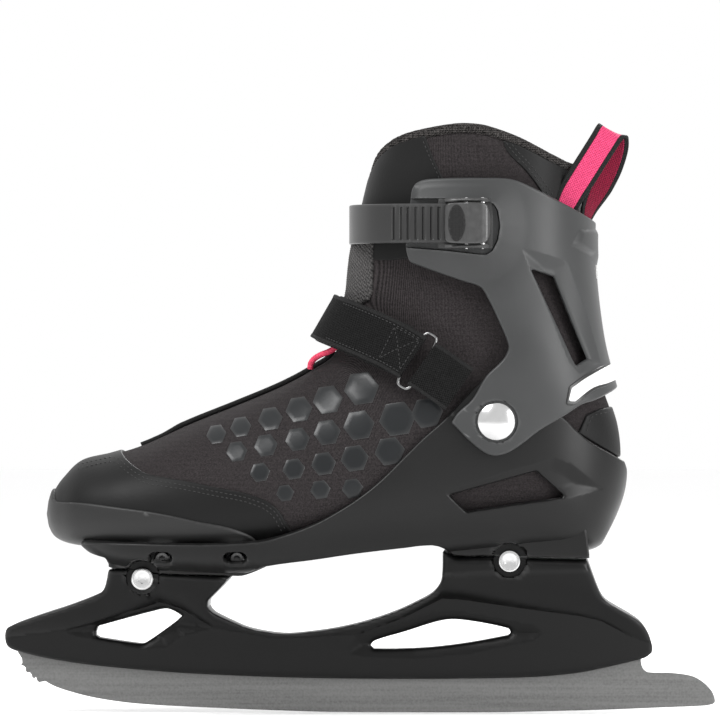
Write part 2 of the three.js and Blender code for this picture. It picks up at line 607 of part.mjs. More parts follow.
// Cuff: wraps the back of the leg, open in front, windows in both sides
function makeCuff() {
  let cuff = layer(CUFF_OUTLINE, CUFF_CLEARANCE, CUFF_CLEARANCE + CUFF_WALL);
  const seat = prism(BUCKLE_SEAT, -BUCKLE_SEAT_Y, -30).subtract(bootBody(CUFF_CLEARANCE));
  cuff = cuff.add(seat).subtract(prism(CUFF_WINDOW, -PAST, PAST));
  SIDES.forEach(([, side]) => {
    const centre = [HINGE_X, 0, HINGE_Z];
    cuff = cuff.subtract(rod(RIVET_SHANK_RADIUS + GAP, centre, [0, side, 0], 20, PAST));
    cuff = cuff.subtract(rod(RIVET_HEAD_RADIUS + 1, centre, [0, side, 0], RIVET_SEAT_Y, PAST));
  });
  cuff = cuff.subtract(acrossRod(2.4, [ANCHOR_X, STRAP_Z], 30, PAST, 16));
  BUCKLE_RIVETS.forEach((x) => {
    cuff = cuff.subtract(rivetBore(x));
  });
  addPart('cuff', 'cuff_plastic', cuff);
}

function rivetBore(x) {
  return acrossRod(BUCKLE_RIVET_RADIUS + GAP, [x, STRAP_Z], -PAST, -30, 12);
}

// Ankle rivets and the spacer washers that keep the cuff off the shell
function makeRivets() {
  SIDES.forEach(([name, side]) => {
    const place = [HINGE_X, 0, HINGE_Z];
    const aim = [0, side, 0];
    const head = RIVET_SEAT_Y + GAP;
    const domed = [
      [0, FLARE_Y - 0.9], [FLARE_RADIUS, FLARE_Y - 0.9], [FLARE_RADIUS, FLARE_Y],
      [RIVET_SHANK_RADIUS, FLARE_Y], [RIVET_SHANK_RADIUS, head], [RIVET_HEAD_RADIUS, head],
      [RIVET_HEAD_RADIUS, head + 0.8], [7.4, head + 1.9], [4.4, head + 2.7], [0, head + 3],
    ];
    addPart(`${name}_ankle_rivet`, 'bright_steel', turned(domed, place, aim));
    const hole = RIVET_SHANK_RADIUS + GAP;
    const [low, high] = [SHELL_FACE_Y + GAP, CUFF_INNER_Y - 3 * GAP];
    const washer = [[hole, low], [WASHER_RADIUS, low], [WASHER_RADIUS, high], [hole, high], [hole, low]];
    addPart(`${name}_hinge_washer`, 'nylon', turned(washer, place, aim));
  });
}

// Badge band and rear reflector on the back of the cuff
function makeCuffTrim() {
  const face = CUFF_CLEARANCE + CUFF_WALL + GAP;
  addPart('cuff_badge', 'badge_silver', layer(BADGE, face, face + 1));
  const place = box([104, -9, 212], [126, 9, 219]);
  const strip = bootBody(face + 1.4).subtract(bootBody(face)).intersect(place);
  addPart('rear_reflector', 'badge_silver', strip);
}

// Buckle base riveted to the cuff, its two cheeks carrying the pins
function makeBuckleBase() {
  const face = BUCKLE_FACE_Y;
  const cheek = [
    [42, face - 1], [42, face - 5.6], [50, face - 9.4], [57, face - 11.4], [62.5, face - 11.4],
    [64, face - 8], [64, face - 1],
  ];
  let base = box([39, face - 1.4, 226.5], [65, face, 250.5]);
  base = base.add(plate(cheek, 226.5, 228.3)).add(plate(cheek, 248.7, 250.5));
  BUCKLE_RIVETS.forEach((x, i) => {
    base = base.subtract(rivetBore(x));
    const [inside, outside] = [-BUCKLE_SEAT_Y + 4.4, BUCKLE_FACE_Y - 1.3];
    const rivet = acrossRod(BUCKLE_RIVET_RADIUS, [x, STRAP_Z], outside, inside, 12);
    addPart(`buckle_rivet_${i + 1}`, 'black_steel', rivet);
  });
  base = base.subtract(upright(LEVER_BORE, LEVER_PIN, 220, 260));
  base = base.subtract(upright(PAWL_BORE, PAWL_PIN, 220, 260));
  addPart('buckle_base', 'buckle_grey', base);
  addPart('lever_pin', 'bright_steel', upright(LEVER_BORE - 0.3, LEVER_PIN, 226.2, 250.8));
  addPart('pawl_pin', 'bright_steel', upright(PAWL_BORE - 0.3, PAWL_PIN, 226.2, 250.8));
}

function upright(radius, [x, y], low, high) {
  return rod(radius, [x, y, 0], [0, 0, 1], low, high, 16);
}

// Lever that turns on its pin, with a ribbed grip pad
function makeLever() {
  const top = BUCKLE_FACE_Y - 13;
  const profile = [
    [42.1, top + 4.6], [42.1, top + 2.2], [44, top + 0.6], [52, top + 0.1], [53.4, top - 0.6],
    [60, top - 0.6], [63.2, top + 0.8], [64.7, top + 3.4], [63.8, top + 6.4], [61, top + 7.6],
    [57.6, top + 6.4], [56.8, top + 2.6], [53, top + 1.7], [46, top + 2.4], [44.5, top + 4.8],
  ];
  const lever = plate(profile, 228.7, 248.3).subtract(upright(LEVER_BORE, LEVER_PIN, 220, 260));
  addPart('buckle_lever', 'buckle_grey', lever);
  const pad = plate([[43.6, top - 0.5], [43.6, top + 0.25], [52, top - 0.25], [52, top - 1]], 230, 247);
  addPart('lever_grip_pad', 'nylon', pad);
}

// Sprung pawl that holds the ladder strap's teeth
function makePawl() {
  const [x, y] = PAWL_PIN;
  const outline = [
    [x - 6.5, BUCKLE_FACE_Y - 5], [x - 5.2, y - 1.4], [x + 0.6, y - 2], [x + 2.2, y],
    [x + 0.6, y + 1.6], [x - 3.4, y + 0.7], [x - 5.6, BUCKLE_FACE_Y - 4.9],
  ];
  const pawl = plate(outline, 229, 248).subtract(upright(PAWL_BORE, PAWL_PIN, 220, 260));
  addPart('buckle_pawl', 'bright_steel', pawl);
}

// A plate with an [x, y] outline between two heights
function plate(outline, low, high) {
  const shape = new THREE.Shape(outline.map(([x, y]) => new THREE.Vector2(x, y)));
  const geometry = new THREE.ExtrudeGeometry(shape, { depth: high - low, bevelEnabled: false, steps: 1 });
  geometry.translate(0, 0, low);
  return toSolid(geometry);
}

// Ladder strap round the front of the leg, with teeth where it runs through the buckle
function makeLadderStrap() {
  const stops = [
    [61, -56.2], [48, -56.2], [36, -56.1], [25, -54.6], [13, -48.4], [4, -38], [-2.4, -22],
    [-4.4, 0], [-2.4, 22], [4, 38], [13, 47.5], [23, 52.6], [32, 54.2], [40, 54.6],
  ].map(([x, y]) => [x, y, STRAP_Z]);
  let strap = strapAlong(stops, [0, 0, 1], STRAP_HEIGHT, STRAP_THICKNESS, 30);
  const slot = box([ANCHOR_X - 2.4, 48, STRAP_Z - 2.4], [ANCHOR_X + 14, 62, STRAP_Z + 2.4]);
  strap = strap.subtract(slot);
  addPart('ladder_strap', 'nylon', strap);
  const screw = [[0, 44], [2, 44], [2, 56.6], [4.6, 56.6], [4.2, 58], [2.5, 58.8], [0, 59]];
  addPart('strap_anchor_screw', 'bright_steel', turned(screw, [ANCHOR_X, 0, STRAP_Z], [0, 1, 0]));
}

// Instep strap: inner layer from the inner side round the instep to the ring, and the loose
// hook-and-loop end folded back over it
function makeInstepStrap() {
  const inner = [
    [22, -42.9, 177], [15, -41.2, 180.4], [5, -36.5, 185.6], [-5, -28, 190.4], [-12.4, -16, 193.6],
    [-15.6, 0, 195], [-12.4, 17, 193.6], [-5, 29, 190.4], [5, 37.5, 185.6], [15, 42.6, 180.4],
    [27, 45.4, 173.4], [40, 47.6, 165.4], [48, 49, 160.4],
  ];
  addPart('instep_strap', 'webbing', strapAlong(inner, ACROSS, STRAP_WIDTH, 1.6, 30));
  const flap = [
    [24, -46.3, 176.2], [15, -44.2, 180.9], [4, -38.9, 186.4], [-7, -29.9, 191.5], [-14.8, -17, 194.8],
    [-18.2, 0, 196.2], [-17.2, 9, 195.8],
  ];
  addPart('strap_end', 'webbing', strapAlong(flap, ACROSS, STRAP_WIDTH - 1, 1.8, 20));
}

// Wire ring at the end of the webbing that the hook-and-loop strap runs through
function makeRing() {
  const across = new THREE.Vector3(...ACROSS).normalize();
  const along = new THREE.Vector3(0.81, -0.18, -0.47).normalize();
  const corners = [[-1, -1], [-1, 0], [-1, 1], [1, 1], [1, 0], [1, -1]].map(([a, b]) => {
    const corner = new THREE.Vector3(...RING_CENTRE);
    corner.addScaledVector(along, a * 3.6).addScaledVector(across, b * (STRAP_WIDTH / 2 + 1.6));
    return corner.toArray();
  });
  addPart('strap_ring', 'bright_steel', wireRing(corners, 1.05));
}

// Webbing that ties the ring to the outer wall of the shell
function makeWebbing() {
  const stops = [[32.6, -47.4, 169.6], [38, -48.3, 166.2], [44, -48.8, 162], [49, -48.6, 158.5]];
  addPart('ring_webbing', 'webbing', strapAlong(stops, ACROSS, STRAP_WIDTH - 0.6, 1.8, 6));
}

// Round lace loop that pulls the tongue, lying on the instep under the strap
function makeLaceLoop() {
  const stops = [
    [-24.2, -9, 170.6], [-23.8, -8.5, 172.6], [-21.4, -8, 175.4], [-17.6, -7, 178.2], [-14.4, -5.5, 181.5],
    [-12.6, -2.5, 185], [-12.2, 1, 187.4],
  ];
  addPart('lace_loop', 'pink_cord', tube(stops, 1.4, 8, 12));
}

// Woven pull loop sewn to the back of the leg
function makePullLoop() {
  const stops = [
    [101.0, -26.6, 235], [101.1, -27.2, 244], [103.6, -29.5, 256], [109, -29.5, 269],
    [116, -26, 279.5], [121.8, -20, 283], [124.6, -13, 279.5], [121.4, -7.5, 268],
    [115.4, -5, 256], [109.9, -4.6, 246], [108.5, -4.4, 235],
  ];
  const curve = new THREE.CatmullRomCurve3(stops.map((stop) => new THREE.Vector3(...stop)));
  const count = 30;
  const route = curve.getSpacedPoints(count);
  const turns = [[0.58, 0.81, 0], [0.72, 0.63, -0.3], [0.1, 1, 0]];
  const [start, top, end] = turns.map((turn) => new THREE.Vector3(...turn).normalize());
  const ahead = (i) => route[Math.min(i + 1, count)].clone().sub(route[Math.max(i - 1, 0)]).normalize();
  const half = count / 2;
  const widthAt = (i) => {
    const wish = i < half ? start.clone().lerp(top, i / half) : top.clone().lerp(end, (i - half) / half);
    return wish.addScaledVector(ahead(i), -wish.dot(ahead(i))).normalize();
  };
  const normalAt = (i) => ahead(i).cross(widthAt(i)).normalize();
  const loop = band(route.map((p) => p.toArray()), widthAt, normalAt, PULL_LOOP_WIDTH, PULL_LOOP_THICKNESS);
  addPart('pull_loop', 'pink_webbing', loop);
}

// Padded mesh tongue showing above the strap, in front of the leg
function makeTongue() {
  const outline = [[-14, 227.5], [-14, 217], [0, 216], [8, 212.5], [14, 212], [9, 227.5]];
  addPart('tongue', 'fabric', layer(outline, GAP, 1.8));
}

makeBlade();
makeHolder();
makeFrameBolts();
makeShell();
makeSoleScrews();
makeBoot();
makeFootbed();
makeOverlays();
makeCuff();
makeRivets();
makeCuffTrim();
makeBuckleBase();
makeLever();
makePawl();
makeLadderStrap();
makeInstepStrap();
makeRing();
makeWebbing();
makeLaceLoop();
makePullLoop();
makeTongue();

export default group;
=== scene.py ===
import math

import bmesh
import bpy
import numpy as np
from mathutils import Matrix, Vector
from mathutils.bvhtree import BVHTree


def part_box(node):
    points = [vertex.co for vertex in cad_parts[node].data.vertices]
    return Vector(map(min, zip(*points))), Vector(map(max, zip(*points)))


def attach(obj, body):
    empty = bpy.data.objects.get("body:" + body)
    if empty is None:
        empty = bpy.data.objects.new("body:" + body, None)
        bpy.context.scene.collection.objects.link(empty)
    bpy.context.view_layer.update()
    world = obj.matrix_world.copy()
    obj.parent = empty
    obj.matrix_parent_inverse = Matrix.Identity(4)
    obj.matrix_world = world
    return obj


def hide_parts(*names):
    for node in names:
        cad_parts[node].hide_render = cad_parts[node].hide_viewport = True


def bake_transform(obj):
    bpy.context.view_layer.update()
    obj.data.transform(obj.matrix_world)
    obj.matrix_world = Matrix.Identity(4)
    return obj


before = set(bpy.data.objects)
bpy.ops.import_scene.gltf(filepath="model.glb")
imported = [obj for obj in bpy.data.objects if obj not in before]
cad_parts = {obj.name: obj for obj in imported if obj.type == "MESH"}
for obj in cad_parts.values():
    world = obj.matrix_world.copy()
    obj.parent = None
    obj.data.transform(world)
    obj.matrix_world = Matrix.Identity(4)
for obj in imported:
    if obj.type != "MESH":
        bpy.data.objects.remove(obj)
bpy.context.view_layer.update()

MM = 0.001

# Camera: a long lens square to the skate's outer side, a little behind the front tower
CAMERA_DISTANCE = 3.2
FIELD_WIDTH = 0.3528
aim = Vector((-0.0005, 0.0, 0.1725))
camera_data = bpy.data.cameras.new("camera")
camera_data.sensor_width = 36.0
camera_data.lens = 36.0 * CAMERA_DISTANCE / FIELD_WIDTH
camera_data.clip_end = 20.0
camera = bpy.data.objects.new("camera", camera_data)
camera.location = aim + Vector((0.10, -CAMERA_DISTANCE, 0.01))
camera.rotation_euler = (aim - camera.location).to_track_quat("-Z", "Y").to_euler()
bpy.context.scene.collection.objects.link(camera)
bpy.context.scene.camera = camera
bpy.context.scene.view_settings.view_transform = "Standard"

# Studio: white surroundings, a large key light above the toe, a strip light behind the heel
world = bpy.data.worlds.new("studio")
world.use_nodes = True
world.node_tree.nodes["Background"].inputs["Color"].default_value = (1.0, 1.0, 1.0, 1.0)
world.node_tree.nodes["Background"].inputs["Strength"].default_value = 1.0
bpy.context.scene.world = world


def area_light(name, place, target, size, power):
    data = bpy.data.lights.new(name, "AREA")
    data.shape = "RECTANGLE"
    data.size, data.size_y = size
    data.energy = power
    light = bpy.data.objects.new(name, data)
    light.location = place
    light.rotation_euler = (Vector(target) - Vector(place)).to_track_quat("-Z", "Y").to_euler()
    bpy.context.scene.collection.objects.link(light)


area_light("key_light", (-0.9, -0.9, 1.5), (0, 0, 0.12), (0.9, 0.7), 26)
area_light("side_light", (1.3, -0.9, 0.5), (0, 0, 0.15), (0.5, 1.0), 16)
area_light("rim_light", (0.5, 1.2, 1.1), (0, 0, 0.15), (1.0, 0.4), 18)

# Floor: a plain pale sheet, just under the blade
floor_mesh = bpy.data.meshes.new("floor")
FLOOR_CORNERS = [(x, y, -0.0006) for x, y in ((-6, -6), (6, -6), (6, 6), (-6, 6))]
floor_mesh.from_pydata(FLOOR_CORNERS, [], [(0, 1, 2, 3)])
floor = bpy.data.objects.new("floor", floor_mesh)
bpy.context.scene.collection.objects.link(floor)
floor_material = bpy.data.materials.new("floor_paper")
floor_material.use_nodes = True
floor_shader = floor_material.node_tree.nodes["Principled BSDF"]
floor_shader.inputs["Base Color"].default_value = (0.98, 0.98, 0.98, 1)
floor_shader.inputs["Roughness"].default_value = 0.9
floor_mesh.materials.append(floor_material)

# Boot upper
# The padded boot body in woven fabric, closed over the instep and open at the top. Its sections
# run across the foot from the toe to the collar; every layer on the boot is cut from this surface.
# A section lists its front x and z, back x and z, half-width, where it is widest, how square its
# front and back are, and how deep its sole is.
BOOT_SECTIONS = np.array([
    [-151.3, 103, -151, 91, 10, 0.6, 2, 2, 4],
    [-149.3, 108.5, -148.5, 87.5, 21, 0.6, 2, 2.4, 4],
    [-145, 114.5, -143.5, 85.3, 30, 0.62, 2, 2.8, 5],
    [-136.5, 122.3, -136, 84, 38.5, 0.64, 2, 3, 7],
    [-122, 126, -122, 82.6, 45, 0.66, 2.1, 3, 12],
    [-105.5, 131.3, -104, 81.6, 49, 0.68, 2.1, 3, 13],
    [-84, 141, -80, 81, 50.5, 0.68, 2, 3, 14],
    [-62, 149.8, -55, 81, 49, 0.68, 2, 3, 15],
    [-40, 159, -28, 82.3, 46, 0.66, 2, 3, 14],
    [-24.4, 167.2, 5, 85, 43, 0.62, 2, 2.9, 14],
    [-14, 174.6, 40, 88, 41.5, 0.6, 2.1, 2.8, 15],
    [-10.3, 186, 75, 90, 41, 0.56, 2.2, 2.7, 16],
    [-8, 197, 103, 92.5, 40.5, 0.54, 2.3, 2.5, 17],
    [-6.1, 206, 120, 103, 40.5, 0.52, 2.3, 2.3, 8],
    [-5.4, 213, 125.5, 121, 40.5, 0.5, 2.3, 2.2, 6],
    [-4.9, 218, 124.5, 140, 41, 0.5, 2.3, 2.2, 4],
    [-3.8, 226, 118, 160, 41.5, 0.5, 2.3, 2.3, 4],
    [-1, 239, 111.5, 184, 42.5, 0.5, 2.3, 2.3, 4],
    [2.4, 254, 107.3, 215, 43.5, 0.5, 2.3, 2.4, 4],
    [5.5, 266, 106.5, 240, 44.5, 0.5, 2.3, 2.4, 4],
    [8.5, 275, 108.5, 262, 45.5, 0.5, 2.3, 2.4, 4],
    [11, 294, 110, 288, 46, 0.5, 2.3, 2.4, 4],
])
TOE_SHIFT = 7.0
ANKLE_X = 20.0


def section_at(place):
    """The boot section at a place along the boot, on smooth curves through the listed ones."""
    last = len(BOOT_SECTIONS) - 1
    i = min(int(place), last - 1)
    t = place - i
    before, here = BOOT_SECTIONS[max(i - 1, 0)], BOOT_SECTIONS[i]
    there, after = BOOT_SECTIONS[i + 1], BOOT_SECTIONS[min(i + 2, last)]
    bend = (2 * before - 5 * here + 4 * there - after) * t * t
    twist = (-before + 3 * here - 3 * there + after) * t ** 3
    return 0.5 * (2 * here + (there - before) * t + bend + twist)


def distances(route):
    """How far along a route each of its points lies."""
    return np.concatenate([[0], np.cumsum(np.linalg.norm(np.diff(route, axis=0), axis=1))])


def sampled(route, places):
    """The route's values at these distances along it."""
    travelled = distances(route)
    return np.stack([np.interp(places, travelled, route[:, k]) for k in range(route.shape[1])], 1)


def section_ring(section, grow, deep, count):
    """One closed ring of the boot's surface, its points evenly spaced from the front round."""
    front_x, front_z, back_x, back_z, half, widest, round_front, round_back, depth = section
    length = math.hypot(back_x - front_x, back_z - front_z)
    along_x, along_z = (back_x - front_x) / length, (back_z - front_z) / length
    angle = np.linspace(0, 2 * np.pi, 721)
    c, s = np.cos(angle), np.sin(angle)
    power = np.where(c > 0, round_front, round_back)
    back_grow = max(depth, grow) if deep else grow
    reach = np.where(c > 0, length * widest + grow, length * (1 - widest) + back_grow)
    distance = length * widest - np.sign(c) * reach * np.abs(c) ** (2 / power)
    side = np.sign(s) * (half + grow) * np.abs(s) ** (2 / power)
    ring = np.stack([front_x + along_x * distance, side, front_z + along_z * distance], 1)
    lean = np.clip((ANKLE_X - ring[:, 0]) / (ANKLE_X + 150), 0, 1)
    ring[:, 1] += TOE_SHIFT * lean * lean
    return sampled(ring, np.linspace(0, distances(ring)[-1], count + 1)[:-1])


def boot_grid(first, last, rows, count, grow=0.0, deep=False):
    """A sheet of the boot's surface between two sections: points, outward normals, triangles."""
    places = np.linspace(first, last, rows)
    points = np.array([section_ring(section_at(p), grow, deep, count) for p in places])
    down = np.gradient(points, axis=0)
    around = np.roll(points, -1, axis=1) - np.roll(points, 1, axis=1)
    normals = np.cross(around, down)
    normals /= np.linalg.norm(normals, axis=2, keepdims=True) + 1e-12
    centre = points.mean(axis=1, keepdims=True)
    if np.sum(normals * (points - centre)) < 0:
        normals = -normals
    r, c = np.meshgrid(np.arange(rows - 1), np.arange(count), indexing="ij")
    here, right = r * count + c, r * count + (c + 1) % count
    below, across = here + count, right + count
    triangles = np.concatenate([
        np.stack([here, right, below], -1).reshape(-1, 3),
        np.stack([right, across, below], -1).reshape(-1, 3),
    ])
    return points.reshape(-1, 3), normals.reshape(-1, 3), triangles


def with_toe_cap(grid, count):
    """Closes the open toe end of a sheet with a shallow fan."""
    points, normals, triangles = grid
    tip = points[:count].mean(axis=0) + np.array([-1.2, 0, 0])
    rim = np.arange(count)
    fan = np.stack([np.full(count, len(points)), np.roll(rim, -1), rim], -1)
    return np.vstack([points, tip]), np.vstack([normals, [-1, 0, 0]]), np.vstack([triangles, fan])


def smooth_outline(outline, steps=4, corner=38.0):
    """A curve through an outline's points that keeps its sharp corners."""
    points = np.array(outline, float)
    count = len(points)
    ahead = np.roll(points, -1, axis=0) - points
    behind = points - np.roll(points, 1, axis=0)
    turn = np.degrees(np.arctan2(
        behind[:, 0] * ahead[:, 1] - behind[:, 1] * ahead[:, 0], np.sum(ahead * behind, axis=1)))
    sharp = np.abs(turn) > corner
    curve = []
    for i in range(count):
        here, there = points[i], points[(i + 1) % count]
        before = here if sharp[i] else points[i - 1]
        after = there if sharp[(i + 1) % count] else points[(i + 2) % count]
        span = np.linalg.norm(there - here)
        lead = (there - before) * span / (span + np.linalg.norm(here - before) + 1e-9)
        trail = (after - here) * span / (span + np.linalg.norm(after - there) + 1e-9)
        for k in range(steps):
            t = k / steps
            ends = (2 * t ** 3 - 3 * t ** 2 + 1) * here + (t ** 3 - 2 * t ** 2 + t) * lead
            curve.append(ends + (-2 * t ** 3 + 3 * t ** 2) * there + (t ** 3 - t ** 2) * trail)
    return np.array(curve)


def depth_inside(points, outline):
    """How far each [x, z] point lies inside a closed outline, negative outside."""
    edge_from = np.asarray(outline, float)
    edge_to = np.roll(edge_from, -1, axis=0)
    edge = edge_to - edge_from
    nearest = np.full(len(points), np.inf)
    winding = np.zeros(len(points), bool)
    for start, step, stop in zip(edge_from, edge, edge_to):
        offset = points - start
        part = np.clip(offset @ step / (step @ step + 1e-12), 0, 1)
        nearest = np.minimum(nearest, np.linalg.norm(offset - part[:, None] * step, axis=1))
        crosses = (start[1] > points[:, 1]) != (stop[1] > points[:, 1])
        cross_x = start[0] + (points[:, 1] - start[1]) * step[0] / (step[1] if step[1] else 1e-12)
        winding ^= crosses & (points[:, 0] < cross_x)
    return np.where(winding, nearest, -nearest)


def cut_along(rows, triangles, column, level, keep_all=True):
    """Splits the triangles along the line where one column of the rows crosses a level."""
    value = rows[:, column]
    value[np.abs(value - level) < 0.04] = level
    side = value >= level
    count = side[triangles].sum(axis=1)
    whole = triangles[(count == 0) | (count == 3)]
    if not keep_all:
        whole = triangles[count == 3]
    added, split, made = [], {}, []

    def crossing(a, b):
        key = (a, b) if a < b else (b, a)
        if key not in split:
            share = min(max((level - value[a]) / (value[b] - value[a]), 0.0), 1.0)
            split[key] = len(rows) + len(added)
            added.append(rows[a] + (rows[b] - rows[a]) * share)
            added[-1][column] = level
        return split[key]

    for triangle in triangles[(count == 1) | (count == 2)]:
        lone_side = side[triangle].sum() == 1
        k = int(np.argmax(side[triangle] == lone_side))
        lone, second, third = (int(triangle[(k + j) % 3]) for j in range(3))
        near, far = crossing(lone, second), crossing(lone, third)
        if lone_side or keep_all:
            made.append((lone, near, far))
        if not lone_side or keep_all:
            made.extend([(near, second, third), (near, third, far)])
    if added:
        rows = np.vstack([rows, np.array(added)])
    triangles = np.vstack([whole, np.array(made, int).reshape(-1, 3)])
    flat = np.any(triangles == np.roll(triangles, 1, axis=1), axis=1)
    return rows, triangles[~flat]


ROUND_STEPS = (0.08, 0.3, 0.65, 1.0)


def rounded(depth, radius):
    """Height of a rounded edge over its full height, from -radius at the rim to 0 inside."""
    part = np.clip(1 - depth / radius, 0, 1)
    return -radius * (1 - np.sqrt(np.clip(1 - part * part, 0, 1)))


def raised(height, radius):
    """A face at one height whose edge is rounded."""
    return lambda points, depth: height + rounded(depth, radius)


def trimmed_skin(name, grid, inside, outer, inner, radius=0.8, creases=()):
    """A closed thick piece cut from a sheet: inside gives the distance to its rim, outer and
    inner how far its two faces stand off the sheet, and creases are lines that stay crisp."""
    points, normals, triangles = grid
    depth = inside(points)
    near = depth[triangles].max(axis=1) > -0.01
    used, triangles = np.unique(triangles[near], return_inverse=True)
    triangles = triangles.reshape(-1, 3)
    points, normals, depth = points[used], normals[used], depth[used]
    rows = np.hstack([points, normals, depth[:, None]] + [crease(points)[:, None] for crease in creases])
    rows, triangles = cut_along(rows, triangles, 6, 0.0, keep_all=False)
    for part in ROUND_STEPS:
        rows, triangles = cut_along(rows, triangles, 6, radius * part)
    for k in range(len(creases)):
        rows, triangles = cut_along(rows, triangles, 7 + k, 0.0)
    used, triangles = np.unique(triangles, return_inverse=True)
    triangles = triangles.reshape(-1, 3)
    rows = rows[used]
    points, normals, depth = rows[:, :3], rows[:, 3:6], rows[:, 6]
    normals = normals / (np.linalg.norm(normals, axis=1, keepdims=True) + 1e-12)
    count = len(points)
    face, back = (
        points + normals * (height(points, depth) if callable(height) else np.full(count, height))[:, None]
        for height in (outer, inner))
    edges = np.concatenate([triangles[:, [0, 1]], triangles[:, [1, 2]], triangles[:, [2, 0]]])
    key = np.sort(edges, axis=1)
    _, first, times = np.unique(key[:, 0] * count + key[:, 1], return_index=True, return_counts=True)
    rim = edges[first[times == 1]]
    walls = [(int(b), int(a), int(a) + count, int(b) + count) for a, b in rim]
    faces = [tuple(map(int, t)) for t in triangles]
    faces += [tuple(int(v) + count for v in t[::-1]) for t in triangles]
    return mesh_object(name, np.vstack([face, back]) * MM, faces + walls)


def placed(name, mesh):
    """The mesh as an object in the scene, told apart by name from a CAD node that it replaces."""
    piece = bpy.data.objects.new(f"{name}_look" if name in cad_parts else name, mesh)
    bpy.context.scene.collection.objects.link(piece)
    return piece


def band(low, high, count):
    """Faces between two closed rings of points, given the number of each ring's first point."""
    return [(low + k, low + (k + 1) % count, high + (k + 1) % count, high + k) for k in range(count)]


def mesh_object(name, points, faces, smooth_angle=42.0):
    """A mesh object with faces turned outwards and shading kept crisp at sharp edges."""
    mesh = bpy.data.meshes.new(name)
    mesh.from_pydata([tuple(map(float, p)) for p in points], [], faces)
    form = bmesh.new()
    form.from_mesh(mesh)
    bmesh.ops.remove_doubles(form, verts=form.verts, dist=1e-6)
    bmesh.ops.dissolve_degenerate(form, edges=form.edges, dist=1e-6)
    bmesh.ops.recalc_face_normals(form, faces=form.faces)
    if form.calc_volume(signed=True) < 0:
        bmesh.ops.reverse_faces(form, faces=form.faces)
    for face in form.faces:
        face.smooth = True
    for edge in form.edges:
        if len(edge.link_faces) == 2 and edge.calc_face_angle(0) > math.radians(smooth_angle):
            edge.smooth = False
    form.to_mesh(mesh)
    form.free()
    return placed(name, mesh)


def inside_of(points, outline):
    """How far points lie inside an outline seen from the side."""
    return depth_inside(points[:, [0, 2]], outline)


def patch(name, sheet, outline, height, back, radius):
    """A piece of even thickness cut from a sheet by one outline, its edge rounded."""
    return trimmed_skin(name, sheet, within(outline), raised(height, radius), back, radius=radius)


def edge_of(outline, offset=0.0):
    """A crease along an outline, or along a line set in from it."""
    return lambda points: inside_of(points, outline) - offset


def within(*outlines, holes=()):
    """Distance inside the outlines and outside the holes, all seen from the side."""
    shapes = [smooth_outline(outline) for outline in outlines]
    gaps = [smooth_outline(hole) for hole in holes]

    def measure(points):
        depth = np.min([inside_of(points, shape) for shape in shapes], axis=0)
        for gap in gaps:
            depth = np.minimum(depth, -inside_of(points, gap))
        return depth
    return measure


COLLAR_RIM = [
    [-30, 262.4], [3.8, 262.4], [7.1, 271.8], [11.3, 276.9], [17.8, 281.1], [27.2, 284], [46, 287],
    [55.3, 287], [62.8, 285.8], [78.7, 280.2], [97.5, 270.8], [105, 268], [140, 266],
]
FLEECE_DEPTH = 4.6
BOOT_WALL = 7.4
BOOT_RING = 150
boot_sheet = with_toe_cap(boot_grid(0, 21, 190, BOOT_RING), BOOT_RING)
below_fleece = [[x, z - FLEECE_DEPTH] for x, z in COLLAR_RIM]
below_fleece += [[140, 40], [-200, 40], [-200, COLLAR_RIM[0][1] - FLEECE_DEPTH]]


def boot_face(points, depth):
    """Slight fullness of the padding: soft folds where the ankle bends, rounded top edge."""
    x, z = points[:, 0], points[:, 2]
    crease_line = (x + 14) * 0.45 + (z - 188)
    fold = 0.9 * np.sin(crease_line / 5.2) * np.exp(-(crease_line / 20) ** 2) * np.exp(-((x - 4) / 30) ** 2)
    side_fold = 0.5 * np.sin((z + 0.35 * x) / 6.1) * np.exp(-((x - 40) / 22) ** 2 - ((z - 200) / 16) ** 2)
    return fold + side_fold + rounded(depth, 1.5)


boot_upper = trimmed_skin(
    "boot_upper", boot_sheet, within(below_fleece), boot_face,
    -BOOT_WALL, radius=1.5)


# Boot upper's cloth: a warm dark speckled weave over foam, made of fine crossed threads


COLOR, FLOAT, VECTOR = "NodeSocketColor", "NodeSocketFloat", "NodeSocketVector"
SURFACE = {"Color": COLOR, "Roughness": FLOAT, "Normal": VECTOR}


def surface_group(name, **given):
    """A new shader node group that gives a surface's values; its inputs are [kind, value]."""
    tree = bpy.data.node_groups.new(name, "ShaderNodeTree")
    for label, (kind, value) in given.items():
        tree.interface.new_socket(label, in_out="INPUT", socket_type=kind).default_value = value
    for label, kind in SURFACE.items():
        tree.interface.new_socket(label, in_out="OUTPUT", socket_type=kind)
    return tree, tree.nodes.new("NodeGroupInput").outputs


def add_node(tree, kind, inputs=(), **settings):
    """The outputs of a new node; each input gets its value, or the output that feeds it."""
    node = tree.nodes.new("ShaderNode" + kind)
    for setting, value in settings.items():
        setattr(node, setting, value)
    for socket, value in dict(inputs).items():
        if isinstance(value, bpy.types.NodeSocket):
            tree.links.new(value, node.inputs[socket])
        else:
            node.inputs[socket].default_value = value
    return node.outputs


def spread(tree, value, low, high, to_low=0.0, to_high=1.0):
    """A value mapped from one range to another."""
    return add_node(tree, "MapRange", {
        "Value": value, "From Min": low, "From Max": high, "To Min": to_low, "To Max": to_high})[0]


def mixed(tree, share, first, second):
    """Two colours mixed by a share."""
    return add_node(tree, "Mix", {"Factor": share, 6: first, 7: second}, data_type="RGBA")[2]


def give_out(tree, *values):
    """Ends a surface group with its colour, roughness and normal."""
    end = tree.nodes.new("NodeGroupOutput")
    for label, value in zip(SURFACE, values):
        tree.links.new(value, end.inputs[label])
    return tree


